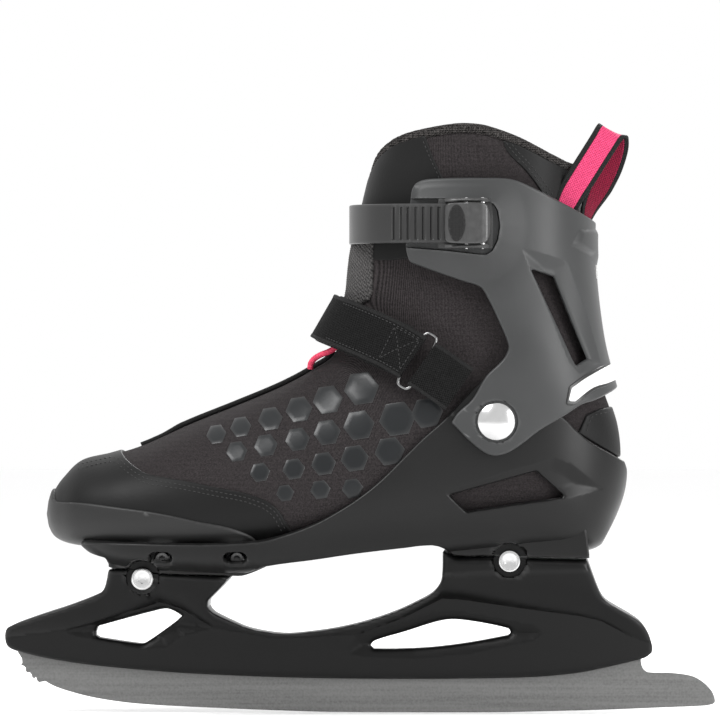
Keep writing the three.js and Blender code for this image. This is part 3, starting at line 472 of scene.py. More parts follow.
def woven_group():
    """Crossed threads along two directions: colour, roughness and bump of a woven cloth."""
    tree, given = surface_group(
        "woven_threads", Dark=(COLOR, (0.02, 0.02, 0.02, 1)), Light=(COLOR, (0.1, 0.1, 0.1, 1)),
        Pitch=(FLOAT, 0.001), Warp=(VECTOR, (1, 1, 1)), Weft=(VECTOR, (1, 1, -1)),
        Depth=(FLOAT, 0.0002), Sheen=(FLOAT, 0.85))
    place = add_node(tree, "TexCoord")["Object"]
    turns = add_node(tree, "Math", {0: 2 * math.pi, 1: given["Pitch"]}, operation="DIVIDE")[0]
    threads = []
    for label in ("Warp", "Weft"):
        along = add_node(tree, "VectorMath", {0: place, 1: given[label]}, operation="DOT_PRODUCT")["Value"]
        phase = add_node(tree, "Math", {0: along, 1: turns}, operation="MULTIPLY")[0]
        threads.append(add_node(tree, "Math", {0: phase}, operation="SINE")[0])
    crossing = add_node(tree, "Math", {0: threads[0], 1: threads[1]}, operation="MULTIPLY")[0]
    yarn = add_node(tree, "TexNoise", {"Vector": place, "Scale": 1500.0, "Detail": 2.0})["Fac"]
    uneven = spread(tree, yarn, 0.3, 0.7, -0.5, 0.5)
    height = add_node(tree, "Math", {0: crossing, 1: uneven}, operation="ADD")[0]
    shade = spread(tree, height, -0.9, 1.2)
    color = mixed(tree, shade, given["Dark"], given["Light"])
    bump = add_node(tree, "Bump", {"Strength": 0.8, "Distance": given["Depth"], "Height": height})[0]
    return give_out(tree, color, given["Sheen"], bump)


def moulded_group():
    """Moulded plastic: fine spark grain, faint clouding, and edges rubbed a little lighter."""
    tree, given = surface_group(
        "moulded_grain", Base=(COLOR, (0.02, 0.02, 0.02, 1)), Worn=(COLOR, (0.06, 0.06, 0.06, 1)),
        Gloss=(FLOAT, 0.45), Grain=(FLOAT, 1400.0), Depth=(FLOAT, 0.00003))
    place = add_node(tree, "TexCoord")["Object"]
    cloud = add_node(tree, "TexNoise", {"Vector": place, "Scale": 22.0, "Detail": 3.0})["Fac"]
    grain = add_node(tree, "TexNoise", {"Vector": place, "Scale": given["Grain"], "Detail": 2.0})["Fac"]
    shade = spread(tree, cloud, 0.3, 0.7, 0.86, 1.14)
    tint = add_node(tree, "VectorMath", {0: given["Base"], "Scale": shade}, operation="SCALE")[0]
    rubbed = spread(tree, add_node(tree, "NewGeometry")["Pointiness"], 0.515, 0.6, 0.0, 0.6)
    color = mixed(tree, rubbed, tint, given["Worn"])
    gloss = add_node(tree, "Math", {0: given["Gloss"], 1: shade}, operation="MULTIPLY")[0]
    bump = add_node(tree, "Bump", {"Strength": 1.0, "Distance": given["Depth"], "Height": grain})[0]
    return give_out(tree, color, gloss, bump)


WOVEN, MOULDED = woven_group(), moulded_group()


def grey(value, warmth=0.0):
    return (value * (1 + warmth), value, value * (1 - warmth * 0.4), 1)


def dressed(name, tree, metallic=0.0, specular=0.5, **values):
    """A material whose colour, roughness and normal come from a node group with these values.
    One number for a colour is a neutral grey."""
    material = bpy.data.materials.new(name)
    material.use_nodes = True
    nodes, links = material.node_tree.nodes, material.node_tree.links
    shader = nodes["Principled BSDF"]
    shader.inputs["Metallic"].default_value = metallic
    shader.inputs["Specular IOR Level"].default_value = specular
    group = nodes.new("ShaderNodeGroup")
    group.node_tree = tree
    for label, value in values.items():
        neutral = group.inputs[label].type == "RGBA" and not isinstance(value, tuple)
        group.inputs[label].default_value = grey(value) if neutral else value
    for output, socket in zip(SURFACE, ("Base Color", "Roughness", "Normal")):
        links.new(group.outputs[output], shader.inputs[socket])
    return material


boot_fabric = dressed(
    "boot_fabric", WOVEN, specular=0.12, Dark=(0.0034, 0.0028, 0.003, 1),
    Light=(0.047, 0.041, 0.042, 1), Pitch=0.0012, Depth=0.00012, Sheen=0.9)
boot_upper.data.materials.append(boot_fabric)
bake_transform(boot_upper)
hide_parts("boot_foot", "boot_leg")


def fitted(piece, material, slot, body, *nodes):
    """Gives a piece its material and puts it on its body, in place of its CAD nodes. The slot is not used.
    """
    piece.data.materials.append(material)
    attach(piece, body)
    if nodes:
        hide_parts(*nodes)
    return piece


# Fleece collar
# Deep pile fleece that turns over the top of the leg. A soft roll with an uneven, fuzzy face.
fleece_sheet = boot_grid(16.5, 21, 110, 520)
fleece_top = COLLAR_RIM + [[140, 40], [-200, 40], [-200, COLLAR_RIM[0][1]]]
fleece_low = [[x, z - FLEECE_DEPTH - 0.6] for x, z in COLLAR_RIM] + [[140, 330], [-200, 330]]
FLEECE_ROUND = 2.6
fuzz = np.random.default_rng(7)


def fleece_face(points, depth):
    return 1.0 + rounded(depth, FLEECE_ROUND) + fuzz.uniform(-0.55, 0.35, len(points))


def fleece_back(points, depth):
    return -8.2 - rounded(depth, FLEECE_ROUND) * 0.8 + fuzz.uniform(-0.4, 0.3, len(points))


fleece_collar = trimmed_skin(
    "fleece_collar", fleece_sheet, within(fleece_top, fleece_low), fleece_face, fleece_back,
    radius=FLEECE_ROUND)
fleece_material = dressed(
    "fleece_pile", WOVEN, specular=0.1, Dark=grey(0.01, 0.05), Light=grey(0.09, 0.08), Pitch=0.0023,
    Depth=0.0005, Sheen=1.0)
fitted(fleece_collar, fleece_material, "fleece", "cuff_body", "fleece_collar")

# Footbed
# A thin moulded foam bed in the bottom of the boot, with a cloth top.
footbed_sheet = with_toe_cap(boot_grid(0.4, 16, 120, BOOT_RING, grow=-8.4), BOOT_RING)
FOOTBED = [[-145, 80], [-140, 96.5], [-100, 94.5], [-40, 95], [20, 98], [112, 103], [125, 80]]
footbed = trimmed_skin(
    "footbed", footbed_sheet, within(FOOTBED), -0.3,
    lambda points, depth: -4.2 - rounded(depth, 2.5), radius=2.5)
footbed_cloth = dressed(
    "footbed_cloth", WOVEN, Dark=0.06, Light=0.16, Pitch=0.0014, Depth=0.0001, Sheen=0.95)
fitted(footbed, footbed_cloth, "foam", "skate", "footbed")

# Toe bumper
# A thick moulded rubber rand round the toe, running back along the sole on both sides.
TOE_BUMPER = [
    [-160, 82], [-160, 116], [-150, 109.5], [-148, 103.9], [-146.3, 102.9], [-134, 102.9],
    [-115.3, 101], [-96.6, 98.7], [-77.8, 95], [-63.7, 92.6], [-56.3, 90.3], [-51.5, 88],
    [-48.3, 84.9], [-78.9, 83.3], [-113, 84], [-136.2, 84], [-137, 80], [-148, 80],
]
toe_sheet = with_toe_cap(boot_grid(0, 10, 230, 300), 300)
toe_bumper = patch("toe_bumper", toe_sheet, TOE_BUMPER, height=2.6, back=-0.6, radius=1.1)
rubber = dressed(
    "bumper_rubber", MOULDED, specular=0.35, Base=0.009, Worn=0.07, Gloss=0.5, Grain=900.0,
    Depth=0.00005)
fitted(toe_bumper, rubber, "rubber", "skate", "toe_bumper")

# Toe cap
# Smooth coated synthetic leather sewn over the toe above the bumper, with a turned edge.
TOE_CAP = [
    [-156, 108], [-147.5, 101.5], [-134, 101.5], [-115.3, 99.7], [-96.6, 97.4], [-77.8, 93.7],
    [-63.7, 91.3], [-51.2, 86.8], [-47.4, 84], [-33, 87.5], [-32.3, 89.8], [-35.2, 94.5],
    [-36.6, 97.3], [-39.4, 101], [-44, 104.4], [-49.7, 106.7], [-56.3, 108.6], [-68.5, 110.9],
    [-82.5, 113.7], [-94.7, 115.6], [-102.2, 117], [-107.8, 119.8], [-112.5, 123], [-118, 128.5],
    [-122, 136], [-156, 136],
]
toe_cap = patch("toe_cap", toe_sheet, TOE_CAP, height=1.3, back=-0.7, radius=0.9)
leather = dressed(
    "coated_leather", MOULDED, specular=0.17, Base=0.004, Worn=0.06, Gloss=0.5, Grain=650.0,
    Depth=0.00006)
fitted(toe_cap, leather, "synthetic_leather", "skate", "toe_cap")

# Heel patch
# A small sewn leather patch over the heel seam, between the shell's heel and the cuff.
HEEL_PATCH = [[106, 137], [110, 146], [118, 149], [132, 150], [134, 124], [127.5, 124.5], [121.6, 127.6]]
heel_patch = patch("heel_patch", boot_sheet, HEEL_PATCH, height=1.3, back=-0.7, radius=0.9)
fitted(heel_patch, leather, "synthetic_leather", "skate", "heel_patch")

# Collar panels
# Smooth coated panels sewn on the front and the back of the collar, on each side of the leg.
FRONT_PANEL = [
    [-12, 228], [-12, 262], [3, 259], [7.1, 267.4], [11.3, 272.6], [17.8, 277], [27.2, 279.9],
    [32.3, 281.2], [36.5, 270], [41.3, 258.6], [41.3, 240], [36, 224], [10, 221],
]
REAR_PANEL = [
    [69.4, 279], [78.7, 275.9], [97.5, 266.5], [105, 263.8], [125, 262.5], [125, 232], [98, 232],
    [90, 251], [81, 264], [73, 272],
]
collar_sheet = boot_grid(14, 21, 150, 300)
for panel_name, panel_outline in (("front_collar_panel", FRONT_PANEL), ("rear_collar_panel", REAR_PANEL)):
    panel = patch(panel_name, collar_sheet, panel_outline, height=0.75, back=-0.6, radius=0.6)
    fitted(panel, leather, "synthetic_leather", "cuff_body")

# Lower shell
# Hard moulded shell: side walls, heel counter and hinge wings in one with the sole and its lugs.
HINGE = (66.8, 143.0)
BOLTS = [(-105.9, 66.1), (73.0, 74.7)]
SCREWS = [(-96.1, 75.8), (-59.6, 75.8)]
SHELL_OUTLINE = [
    [52.4, 155.4], [41.8, 144], [31.2, 134.6], [20.9, 124.3], [10.5, 114], [0.2, 105.7],
    [-10.1, 99], [-20.4, 93.3], [-33.8, 88], [-48, 84.3], [-78.9, 82.6], [-113, 83.2], [-135.7, 83.4],
    [-136.4, 82], [-134.9, 80.4], [-131.3, 77.6], [-123.8, 75.4], [-122.7, 71.1], [-111.6, 70.9],
    [-98.4, 68.6], [-67, 67.7], [-57.6, 67.3], [-51.9, 68.9], [-45.4, 71.8], [-20.9, 75.2], [-2.2, 78],
    [21.3, 80.8], [34.3, 82.2], [40.2, 81], [45.9, 77.4], [66.2, 77.4], [81.6, 76.5], [115, 75.8],
    [121.4, 88], [125.5, 96.1], [128.7, 104.2], [130.9, 112.3], [130.9, 118.8], [129.6, 122.9],
    [121.4, 127.8], [114.1, 131.8], [106, 138.3], [99.5, 144.8], [82.8, 155], [68, 160], [61.3, 163.7],
]
SHELL_WINDOW = [[44.2, 107.1], [86.5, 118.8], [99.5, 107.5], [99.5, 105.8], [52.4, 98.5]]
SHELL_RAMP = [
    [41.8, 107.5], [43.4, 109.5], [58.1, 114], [72.7, 118.8], [94.6, 125.3], [102.8, 122.1],
    [119, 109.9], [101.1, 105.8], [82.4, 102.6], [52.4, 98.1],
]
LUGS = [
    [[-122.2, 71.1], [-111.6, 70.9], [-98.4, 68.8], [-67, 67.9], [-57.6, 67.5], [-51.9, 69.2],
     [-45.4, 72], [-43, 84], [-122.2, 84]],
    [[42, 80.6], [47, 77.7], [66.2, 77.7], [81.6, 77], [112, 76.3], [110, 92], [42, 92]],
]


def ring_outline(centre, across, high=None, count=28):
    """A round or long round outline about a centre."""
    high = across if high is None else high
    angle = np.linspace(0, 2 * np.pi, count + 1)[:-1]
    stretch = (across - high) / 2 * np.sign(np.cos(angle))
    x = centre[0] + high / 2 * np.cos(angle) + stretch
    return np.stack([x, centre[1] + high / 2 * np.sin(angle)], 1)


def past_circle(points, centre, radius):
    return np.hypot(points[:, 0] - centre[0], points[:, 2] - centre[1]) - radius


def circle_line(centre, radius):
    """A crease round a circle seen from the side."""
    return lambda points: past_circle(points, centre, radius)


def flat_sheet(low, high, step):
    """A flat upright sheet in the middle of the skate that faces its outer side."""
    columns, rows = (int((high[k] - low[k]) / step) + 1 for k in range(2))
    x, z = np.meshgrid(np.linspace(low[0], high[0], columns), np.linspace(low[1], high[1], rows))
    points = np.stack([x.ravel(), np.zeros(x.size), z.ravel()], 1)
    normals = np.tile([0.0, -1.0, 0.0], (len(points), 1))
    r, c = np.meshgrid(np.arange(rows - 1), np.arange(columns - 1), indexing="ij")
    corner = (r * columns + c).ravel()
    triangles = np.concatenate([
        np.stack([corner, corner + 1, corner + columns], 1),
        np.stack([corner + 1, corner + columns + 1, corner + columns], 1)])
    return points, normals, triangles


def joined(name, *pieces):
    """One object made of several closed pieces."""
    form = bmesh.new()
    for piece in pieces:
        form.from_mesh(piece.data)
        bpy.data.objects.remove(piece)
    mesh = bpy.data.meshes.new(name)
    form.to_mesh(mesh)
    form.free()
    return placed(name, mesh)


def shell_face(points, depth):
    ramp = np.clip(inside_of(points, SHELL_RAMP) * 0.4, 0, 2.2)
    sole_line = np.clip((points[:, 2] - 84.5) / 2.5, -1, 0) * (points[:, 0] < -50) * 0.5
    return rounded(depth, 1.0) - ramp + sole_line


shell_holes = [SHELL_WINDOW] + [ring_outline(bolt, 17.2) for bolt in BOLTS]
shell_holes += [ring_outline(screw, 11.4, 6.4) for screw in SCREWS]
shell_sheet = boot_grid(1.5, 20, 260, 360, grow=3.95, deep=True)
shell_skin = trimmed_skin(
    "shell_skin", shell_sheet, within(SHELL_OUTLINE, holes=shell_holes), shell_face,
    lambda points, depth: -3.6 - rounded(depth, 1.0) * 0.5, radius=1.0, creases=[edge_of(SHELL_RAMP)])


# Round sinkings in the lugs: centre, radius and how far from the middle their floor stands.
SINKINGS = [(screw, 5.6, 23.9) for screw in SCREWS] + [(bolt, 8.6, 21.0) for bolt in BOLTS]


def lug_face(points, depth):
    face = 27 + rounded(depth, 1.0)
    for centre, radius, floor_height in SINKINGS:
        face = np.where(past_circle(points, centre, radius) < -0.02, floor_height, face)
    return face


rims = [circle_line(centre, radius + grow) for centre, radius, _ in SINKINGS for grow in (0, -0.15)]
lug_pieces = [
    trimmed_skin(f"lug_{k}", flat_sheet((-124, 66), (114, 94), 1.9), within(outline), lug_face,
                 lambda points, depth: -lug_face(points, depth), radius=1.0, creases=rims)
    for k, outline in enumerate(LUGS)]
lower_shell = joined("lower_shell", shell_skin, *lug_pieces)
shell_plastic = dressed(
    "shell_plastic", MOULDED, specular=0.23, Base=0.005, Worn=0.06, Gloss=0.38, Grain=1500.0,
    Depth=0.00002)
fitted(lower_shell, shell_plastic, "shell_plastic", "skate", "lower_shell")

# Blade holder
# Two hollow-sided towers joined by a beam, moulded in one, with a window in each end. The sides
# lean out above a crease to meet the sole, and step in round the windows and the frame bolts.
HOLDER = [
    [137.3, 26.4], [120.9, 22.4], [104.9, 19.3], [83.7, 17.4], [51.8, 16.6], [9.3, 16.4],
    [-39.7, 17.1], [-86.9, 19.1], [-109.4, 20.8], [-131.9, 23], [-150.6, 25.7], [-168.7, 29.8],
    [-172.8, 31.7], [-174.2, 34.3], [-174.2, 38.8], [-172.4, 41.8], [-158, 47.4], [-143, 52.3],
    [-127.5, 58.5], [-124.7, 61.3], [-122.4, 70.4], [-111.6, 70.4], [-105, 69], [-98.4, 68],
    [-62.8, 67], [-67.5, 61.8], [-74.1, 55.2], [-74.5, 51.5], [-72.2, 49.1], [-63.7, 44.9],
    [-54.4, 41.2], [-38.5, 38.6], [-26.3, 39.3], [-11.6, 41.4], [2.5, 44.7], [16.6, 49.4],
    [27.8, 54.5], [35.3, 58.8], [39.1, 63.9], [40.2, 68.6], [40.5, 79.6], [41.8, 79.2],
    [47.5, 76.8], [65.3, 76.8], [82.2, 75.9], [110.8, 75.2], [115.5, 62.6], [118.7, 56.3],
    [124.1, 52.5], [131.5, 48.3], [136.8, 44.5], [140.5, 39.2], [142.6, 32.9], [142.6, 29.7],
    [140, 27.5],
]
FRONT_WINDOW = [
    [-128.9, 42.1], [-98.1, 50.4], [-93.6, 50.6], [-87.4, 47.4], [-90.7, 44.4], [-105.6, 33.9],
    [-107.9, 33.5], [-128.9, 36.5], [-130.2, 38],
]
REAR_WINDOW = [
    [4.4, 33], [7.2, 35.3], [21.3, 39.5], [40, 45.2], [50.3, 45.4], [71.9, 41.4], [73.7, 39.5],
    [72.3, 37.8], [54, 34.4], [35.3, 32], [16.6, 31.1], [6.2, 31.1],
]
FRONT_HOLLOW = [
    [-144.7, 40.3], [-128, 44.6], [-98, 53.2], [-86.2, 49.5], [-71.9, 41.4], [-88, 37], [-95, 31.7],
    [-107.9, 30.8], [-143, 38.2],
]
REAR_HOLLOW = [
    [-6.9, 28.3], [-2.2, 37.7], [35.3, 48.9], [41.8, 49.8], [49.3, 49.4], [84, 42.8], [89.7, 39.5],
    [84.5, 35.2], [72.8, 33], [54, 29.2], [25.9, 26.4],
]
HOLDER_CREASE = np.array([
    [-176, 36], [-144, 40], [-130, 43.5], [-98, 54], [-88, 51], [-72, 41.4], [-40, 36], [0, 38.5],
    [20, 46], [40, 56], [49.3, 55.5], [82.2, 50.8], [107.3, 47.5], [117.7, 45.1], [130.4, 38.2],
    [144, 33],
])


def above_crease(points):
    return points[:, 2] - np.interp(points[:, 0], HOLDER_CREASE[:, 0], HOLDER_CREASE[:, 1])


def holder_face(points, depth):
    height = points[:, 2]
    low = np.interp(height, [14, 30, 42, 60], [5.2, 6.6, 8.4, 11.5])
    above = np.clip(above_crease(points), 0, None)
    to_sole = np.clip(66 - (height - above), 4, None)
    face = low + (24 - low) * np.clip(above / to_sole, 0, 1.2) ** 0.85
    face = np.where(height > 68, np.maximum(face, 24 + (height - 68) * 0.2), face)
    for hollow in (FRONT_HOLLOW, REAR_HOLLOW):
        face = face - np.clip(inside_of(points, hollow) * 0.55, 0, 3.0) * np.clip(face / 8, 0, 1)
    soft = rounded(depth, 3.2) * np.clip(face / 14, 0.25, 1)
    for bolt in BOLTS:
        inside = past_circle(points, bolt, 7.9) < -0.02
        soft = np.where(inside, 0, soft)
        face = np.where(inside, 21.2, face)
    return np.minimum(face, 27) + soft


holder_lines = [above_crease, edge_of(FRONT_HOLLOW), edge_of(REAR_HOLLOW)]
holder_lines += [circle_line(bolt, radius) for bolt in BOLTS for radius in (7.9, 7.75)]
blade_holder = trimmed_skin(
    "blade_holder", flat_sheet((-176, 15), (144, 81), 1.6),
    within(HOLDER, holes=[FRONT_WINDOW, REAR_WINDOW]), holder_face,
    lambda points, depth: -holder_face(points, depth), radius=3.2, creases=holder_lines)
holder_plastic = dressed(
    "holder_plastic", MOULDED, specular=0.2, Base=0.002, Worn=0.05, Gloss=0.32, Grain=1600.0,
    Depth=0.000015)
fitted(blade_holder, holder_plastic, "holder_plastic", "skate", "blade_holder")

# Blade
# Ground stainless runner with toe picks, its tang up inside the holder; sides finely mottled.
BLADE = [
    [-168.7, 29.5], [-166, 25.3], [-167.3, 22.3], [-164.5, 22.3], [-164.6, 19.1], [-161.7, 19.4],
    [-162, 16.3], [-158.9, 16.9], [-159.1, 14], [-155.1, 15], [-150.6, 12.5], [-143, 9.9],
    [-132, 7.1], [-117, 4.7], [-102, 3.4], [-87, 2.6], [-59, 1.4], [-30, 0.4], [-12, 0],
    [66, 0], [92, 0.6], [115.5, 1.2], [147, 2.5], [168.7, 3.5], [172.9, 4.4], [173.5, 6.3],
    [171.8, 10.5], [167.6, 14.8], [162.3, 17.8], [152.7, 19.3], [141, 19.6], [138.9, 20.6],
    [137.5, 22.8], [137.3, 26], [130, 31], [104.9, 25], [51.8, 22], [-39.7, 22.5], [-109.4, 26],
    [-150.6, 32], [-164, 35],
]


def blade_face(points, depth):
    """Flat sides with a fine ground chamfer, a little wider along the skating edge."""
    ground = np.where(points[:, 2] < 12, 0.35, 0.2)
    return 2.0 + ground * rounded(depth, 0.5) / 0.5


blade = trimmed_skin(
    "blade", flat_sheet((-170, -0.4), (175, 37), 1.5), within(BLADE), blade_face,
    lambda points, depth: -blade_face(points, depth), radius=0.5)


def steel_group():
    """Worked steel: fine lines along one axis and a soft mottle in colour and gloss."""
    tree, given = surface_group(
        "worked_steel", Base=(COLOR, (0.5, 0.5, 0.5, 1)), Gloss=(FLOAT, 0.3),
        Lines=(VECTOR, (20, 900, 900)), Mottle=(FLOAT, 700.0), Spread=(FLOAT, 0.25))
    place = add_node(tree, "TexCoord")["Object"]
    stretched = add_node(tree, "VectorMath", {0: place, 1: given["Lines"]}, operation="MULTIPLY")[0]
    lines = add_node(tree, "TexNoise", {"Vector": stretched, "Scale": 1.0, "Detail": 3.0})["Fac"]
    mottle = add_node(tree, "TexNoise", {"Vector": place, "Scale": given["Mottle"], "Detail": 3.0})["Fac"]
    both = add_node(tree, "Math", {0: lines, 1: mottle}, operation="ADD")[0]
    swing = spread(tree, both, 0.6, 1.4, -1.0, 1.0)
    share = add_node(tree, "Math", {0: swing, 1: given["Spread"], 2: 1.0}, operation="MULTIPLY_ADD")[0]
    tint = add_node(tree, "VectorMath", {0: given["Base"], "Scale": share}, operation="SCALE")[0]
    gloss = add_node(tree, "Math", {0: given["Gloss"], 1: share}, operation="MULTIPLY")[0]
    bump = add_node(tree, "Bump", {"Strength": 0.5, "Distance": 0.00001, "Height": lines})[0]
    return give_out(tree, tint, gloss, bump)


STEEL = steel_group()
blade_steel = dressed(
    "blade_steel", STEEL, metallic=0.9, Base=(0.15, 0.15, 0.148, 1), Gloss=0.5, Lines=(12, 900, 500),
    Mottle=900.0, Spread=0.3)
fitted(blade, blade_steel, "blade_steel", "skate", "blade")

# Frame bolts
# Socket-head bolts across both towers, with barrel nuts on the inner side; polished steel.
bright_steel = dressed(
    "bright_steel", STEEL, metallic=1.0, Base=(0.58, 0.58, 0.58, 1), Gloss=0.18, Lines=(30, 30, 30),
    Mottle=300.0, Spread=0.06)


def turned(name, profile, place, direction, sides=48, flat_inside=None):
    """A turned piece: [radius, height] about an axis through a place; part may be six-sided."""
    aim = Vector((0, 1, 0)).rotation_difference(Vector(direction)).to_matrix()
    points = []
    for radius, height in profile:
        for k in range(sides):
            angle = 2 * math.pi * k / sides
            reach = radius
            if flat_inside and radius == flat_inside:
                part = (angle % (math.pi / 3)) - math.pi / 6
                reach = radius * math.cos(math.pi / 6) / math.cos(part)
            spot = aim @ Vector((reach * math.cos(angle), height, reach * math.sin(angle)))
            points.append([spot[i] + place[i] for i in range(3)])
    faces = [face for r in range(len(profile) - 1) for face in band(r * sides, (r + 1) * sides, sides)]
    return mesh_object(name, np.array(points) * MM, faces, smooth_angle=32)


SOCKET = 2.31
for bolt_name, (bolt_x, bolt_z) in (("front", BOLTS[0]), ("rear", BOLTS[1])):
    bolt = turned(f"{bolt_name}_frame_bolt", [
        [0, 22.0], [SOCKET, 22.3], [SOCKET, 24.6], [2.9, 24.95], [4.0, 24.95], [4.15, 24.75],
        [4.4, 24.75], [4.55, 24.95], [5.1, 24.8], [5.5, 24.3], [5.5, 21.55], [3, 21.55], [3, -12],
        [0, -12]], (bolt_x, 0, bolt_z), (0, -1, 0), flat_inside=SOCKET)
    fitted(bolt, bright_steel, "bright_steel", "skate", f"{bolt_name}_frame_bolt")
    nut = turned(f"{bolt_name}_frame_nut", [
        [0, 12.4], [3, 12.4], [3, 21.55], [5.5, 21.55], [5.5, 24.2], [5.1, 24.7], [3.2, 24.75],
        [SOCKET, 24.3], [SOCKET, 22.6], [0, 22.3]], (bolt_x, 0, bolt_z), (0, 1, 0), flat_inside=SOCKET)
    fitted(nut, bright_steel, "bright_steel", "skate", f"{bolt_name}_frame_nut")

# Sole screws
# Short blackened screws that hold the footbed board to the shell's lug, two on each side.
black_steel = dressed(
    "black_steel", STEEL, metallic=1.0, Base=(0.1, 0.1, 0.1, 1), Gloss=0.28, Lines=(30, 30, 30),
    Mottle=400.0, Spread=0.15)
SCREW_SOCKET = 1.3
screw_places = [(x, z, side) for side in (-1, 1) for x, z in SCREWS]
for k, (screw_x, screw_z, screw_side) in enumerate(screw_places):
    screw = turned(f"sole_screw_{k + 1}", [
        [0, 25.2], [SCREW_SOCKET, 25.4], [SCREW_SOCKET, 26.4], [1.7, 26.55], [3, 26.5], [3.7, 26],
        [4, 25.2], [4, 24.4], [1.65, 24.35], [1.65, 15], [0, 15]],
        (screw_x, 0, screw_z), (0, screw_side, 0), sides=32, flat_inside=SCREW_SOCKET)
    fitted(screw, black_steel, "black_steel", "skate", f"sole_screw_{k + 1}")

# Cuff
# Hinged cuff round the back of the leg, open in front. It has a bevelled window and a raised
# spine behind, and a pocket for the buckle on the outer side.
CUFF_OUTLINE = [
    [26.3, 250.2], [27.2, 255.5], [30, 258.8], [36.6, 260.2], [60, 260.6], [74.1, 259.9],
    [83.4, 256.2], [102.2, 246.2], [116.3, 237.2], [119.6, 233.3], [120.1, 222.8], [115.4, 221],
    [116.2, 209.8],
    [118.5, 194.2], [120.9, 181.7], [123.2, 173.1], [125.6, 170.4], [127.1, 164.2], [122.5, 157.9],
    [113, 152.8], [106.8, 150.9], [99.5, 146.1], [87.3, 138.7], [78.4, 131.8], [73.5, 128.6],
    [69.4, 127], [65.4, 126.6], [61.3, 127.8], [54.8, 132.6], [45.1, 142.4], [48.3, 147.2],
    [55.3, 153.7], [61.9, 164.8], [69.4, 172.3], [72.2, 177], [72.2, 180.8], [68.5, 190.1],
    [62.8, 202.3], [59.1, 207.9], [50.7, 210.8], [27.2, 219.3], [25.3, 221.1], [23.9, 228.6],
]
CUFF_WINDOW = [[82.6, 216.9], [94.3, 212.9], [110, 173.1], [104.1, 169.6]]
CUFF_RAMP = [
    [78.2, 226.9], [96.7, 221.5], [99, 219.2], [103.7, 206.7], [109.2, 189.5], [113.8, 173.1],
    [114.2, 170.4], [105.3, 165.3], [100, 172],
]
CUFF_SPINE = [
    [100.5, 228.2], [109.2, 223.1], [112.3, 216.9], [114.6, 208.3], [117, 194.2], [120.1, 180.1],
    [122, 172.3], [150, 168], [150, 240], [104, 236],
]
POCKET = [
    [20, 250.6], [42.9, 250.9], [61.1, 250.2], [65.4, 248.1], [67.3, 245], [68.3, 237.6],
    [67.3, 230.7], [64.8, 225.4], [62.3, 223.6], [58.6, 223.6], [44.2, 225.4], [20, 227.4],
]


def cuff_face(points, depth):
    face = 3.3 + rounded(depth, 1.2)
    face -= np.clip(inside_of(points, CUFF_RAMP) * 0.42, 0, 2.5)
    face += np.clip(inside_of(points, CUFF_SPINE) * 0.6, 0, 1.3)
    in_pocket = inside_of(points, POCKET)
    outer_side = points[:, 1] < 0
    swell = 2.4 * np.clip(1 + in_pocket / 13, 0, 1) ** 1.5
    face += np.where(outer_side & (in_pocket < 0.15), swell, 0) * np.clip(depth / 4, 0, 1)
    return np.where(past_circle(points, HINGE, 10.1) < -0.02, 2.5, face)


cuff_lines = [edge_of(CUFF_RAMP), edge_of(CUFF_SPINE), edge_of(POCKET), edge_of(POCKET, 0.5)]
cuff_lines += [circle_line(HINGE, 10.1), circle_line(HINGE, 9.95)]
cuff = trimmed_skin(
    "cuff", boot_grid(7.5, 21, 290, 300, grow=5.4), within(CUFF_OUTLINE, holes=[CUFF_WINDOW]),
    cuff_face, lambda points, depth: -rounded(depth, 1.2) * 0.5, radius=1.2, creases=cuff_lines)
cuff_plastic = dressed(
    "cuff_plastic", MOULDED, specular=0.34, Base=grey(0.03, -0.03), Worn=0.1, Gloss=0.42, Grain=1500.0,
    Depth=0.00002)
fitted(cuff, cuff_plastic, "cuff_plastic", "cuff_body", "cuff")

# Ankle rivets
# Polished domed rivets that hinge the cuff on the shell, over a nylon spacer washer each.
nylon = dressed(
    "black_nylon", MOULDED, specular=0.4, Base=0.014, Worn=0.06, Gloss=0.32, Grain=1200.0,
    Depth=0.00001)


def cad_face(node, side):
    """How far a CAD node stands out on one side, in millimetres."""
    low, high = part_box(node)
    return -low[1] / MM if side < 0 else high[1] / MM


for rivet_side, side_name in ((-1, "lateral"), (1, "medial")):
    top = cad_face(f"{side_name}_ankle_rivet", rivet_side)
    rivet = turned(f"{side_name}_ankle_rivet", [
        [0, top], [1.6, top - 0.05], [3.4, top - 0.25], [5.4, top - 0.75], [7.2, top - 1.5],
        [8.4, top - 2.15], [8.95, top - 2.5], [9.1, top - 2.75], [8.9, top - 3], [3, top - 3],
        [3, 38], [0, 38]],
        (HINGE[0], 0, HINGE[1]), (0, rivet_side, 0), sides=64)
    fitted(rivet, bright_steel, "bright_steel", "skate", f"{side_name}_ankle_rivet")
    top = cad_face(f"{side_name}_hinge_washer", rivet_side)
    washer = turned(f"{side_name}_hinge_washer", [
        [3.35, top - 0.7], [7.3, top - 0.7], [7.3, top], [3.35, top], [3.35, top - 0.7]],
        (HINGE[0], 0, HINGE[1]), (0, rivet_side, 0), sides=48)
    fitted(washer, nylon, "nylon", "skate", f"{side_name}_hinge_washer")

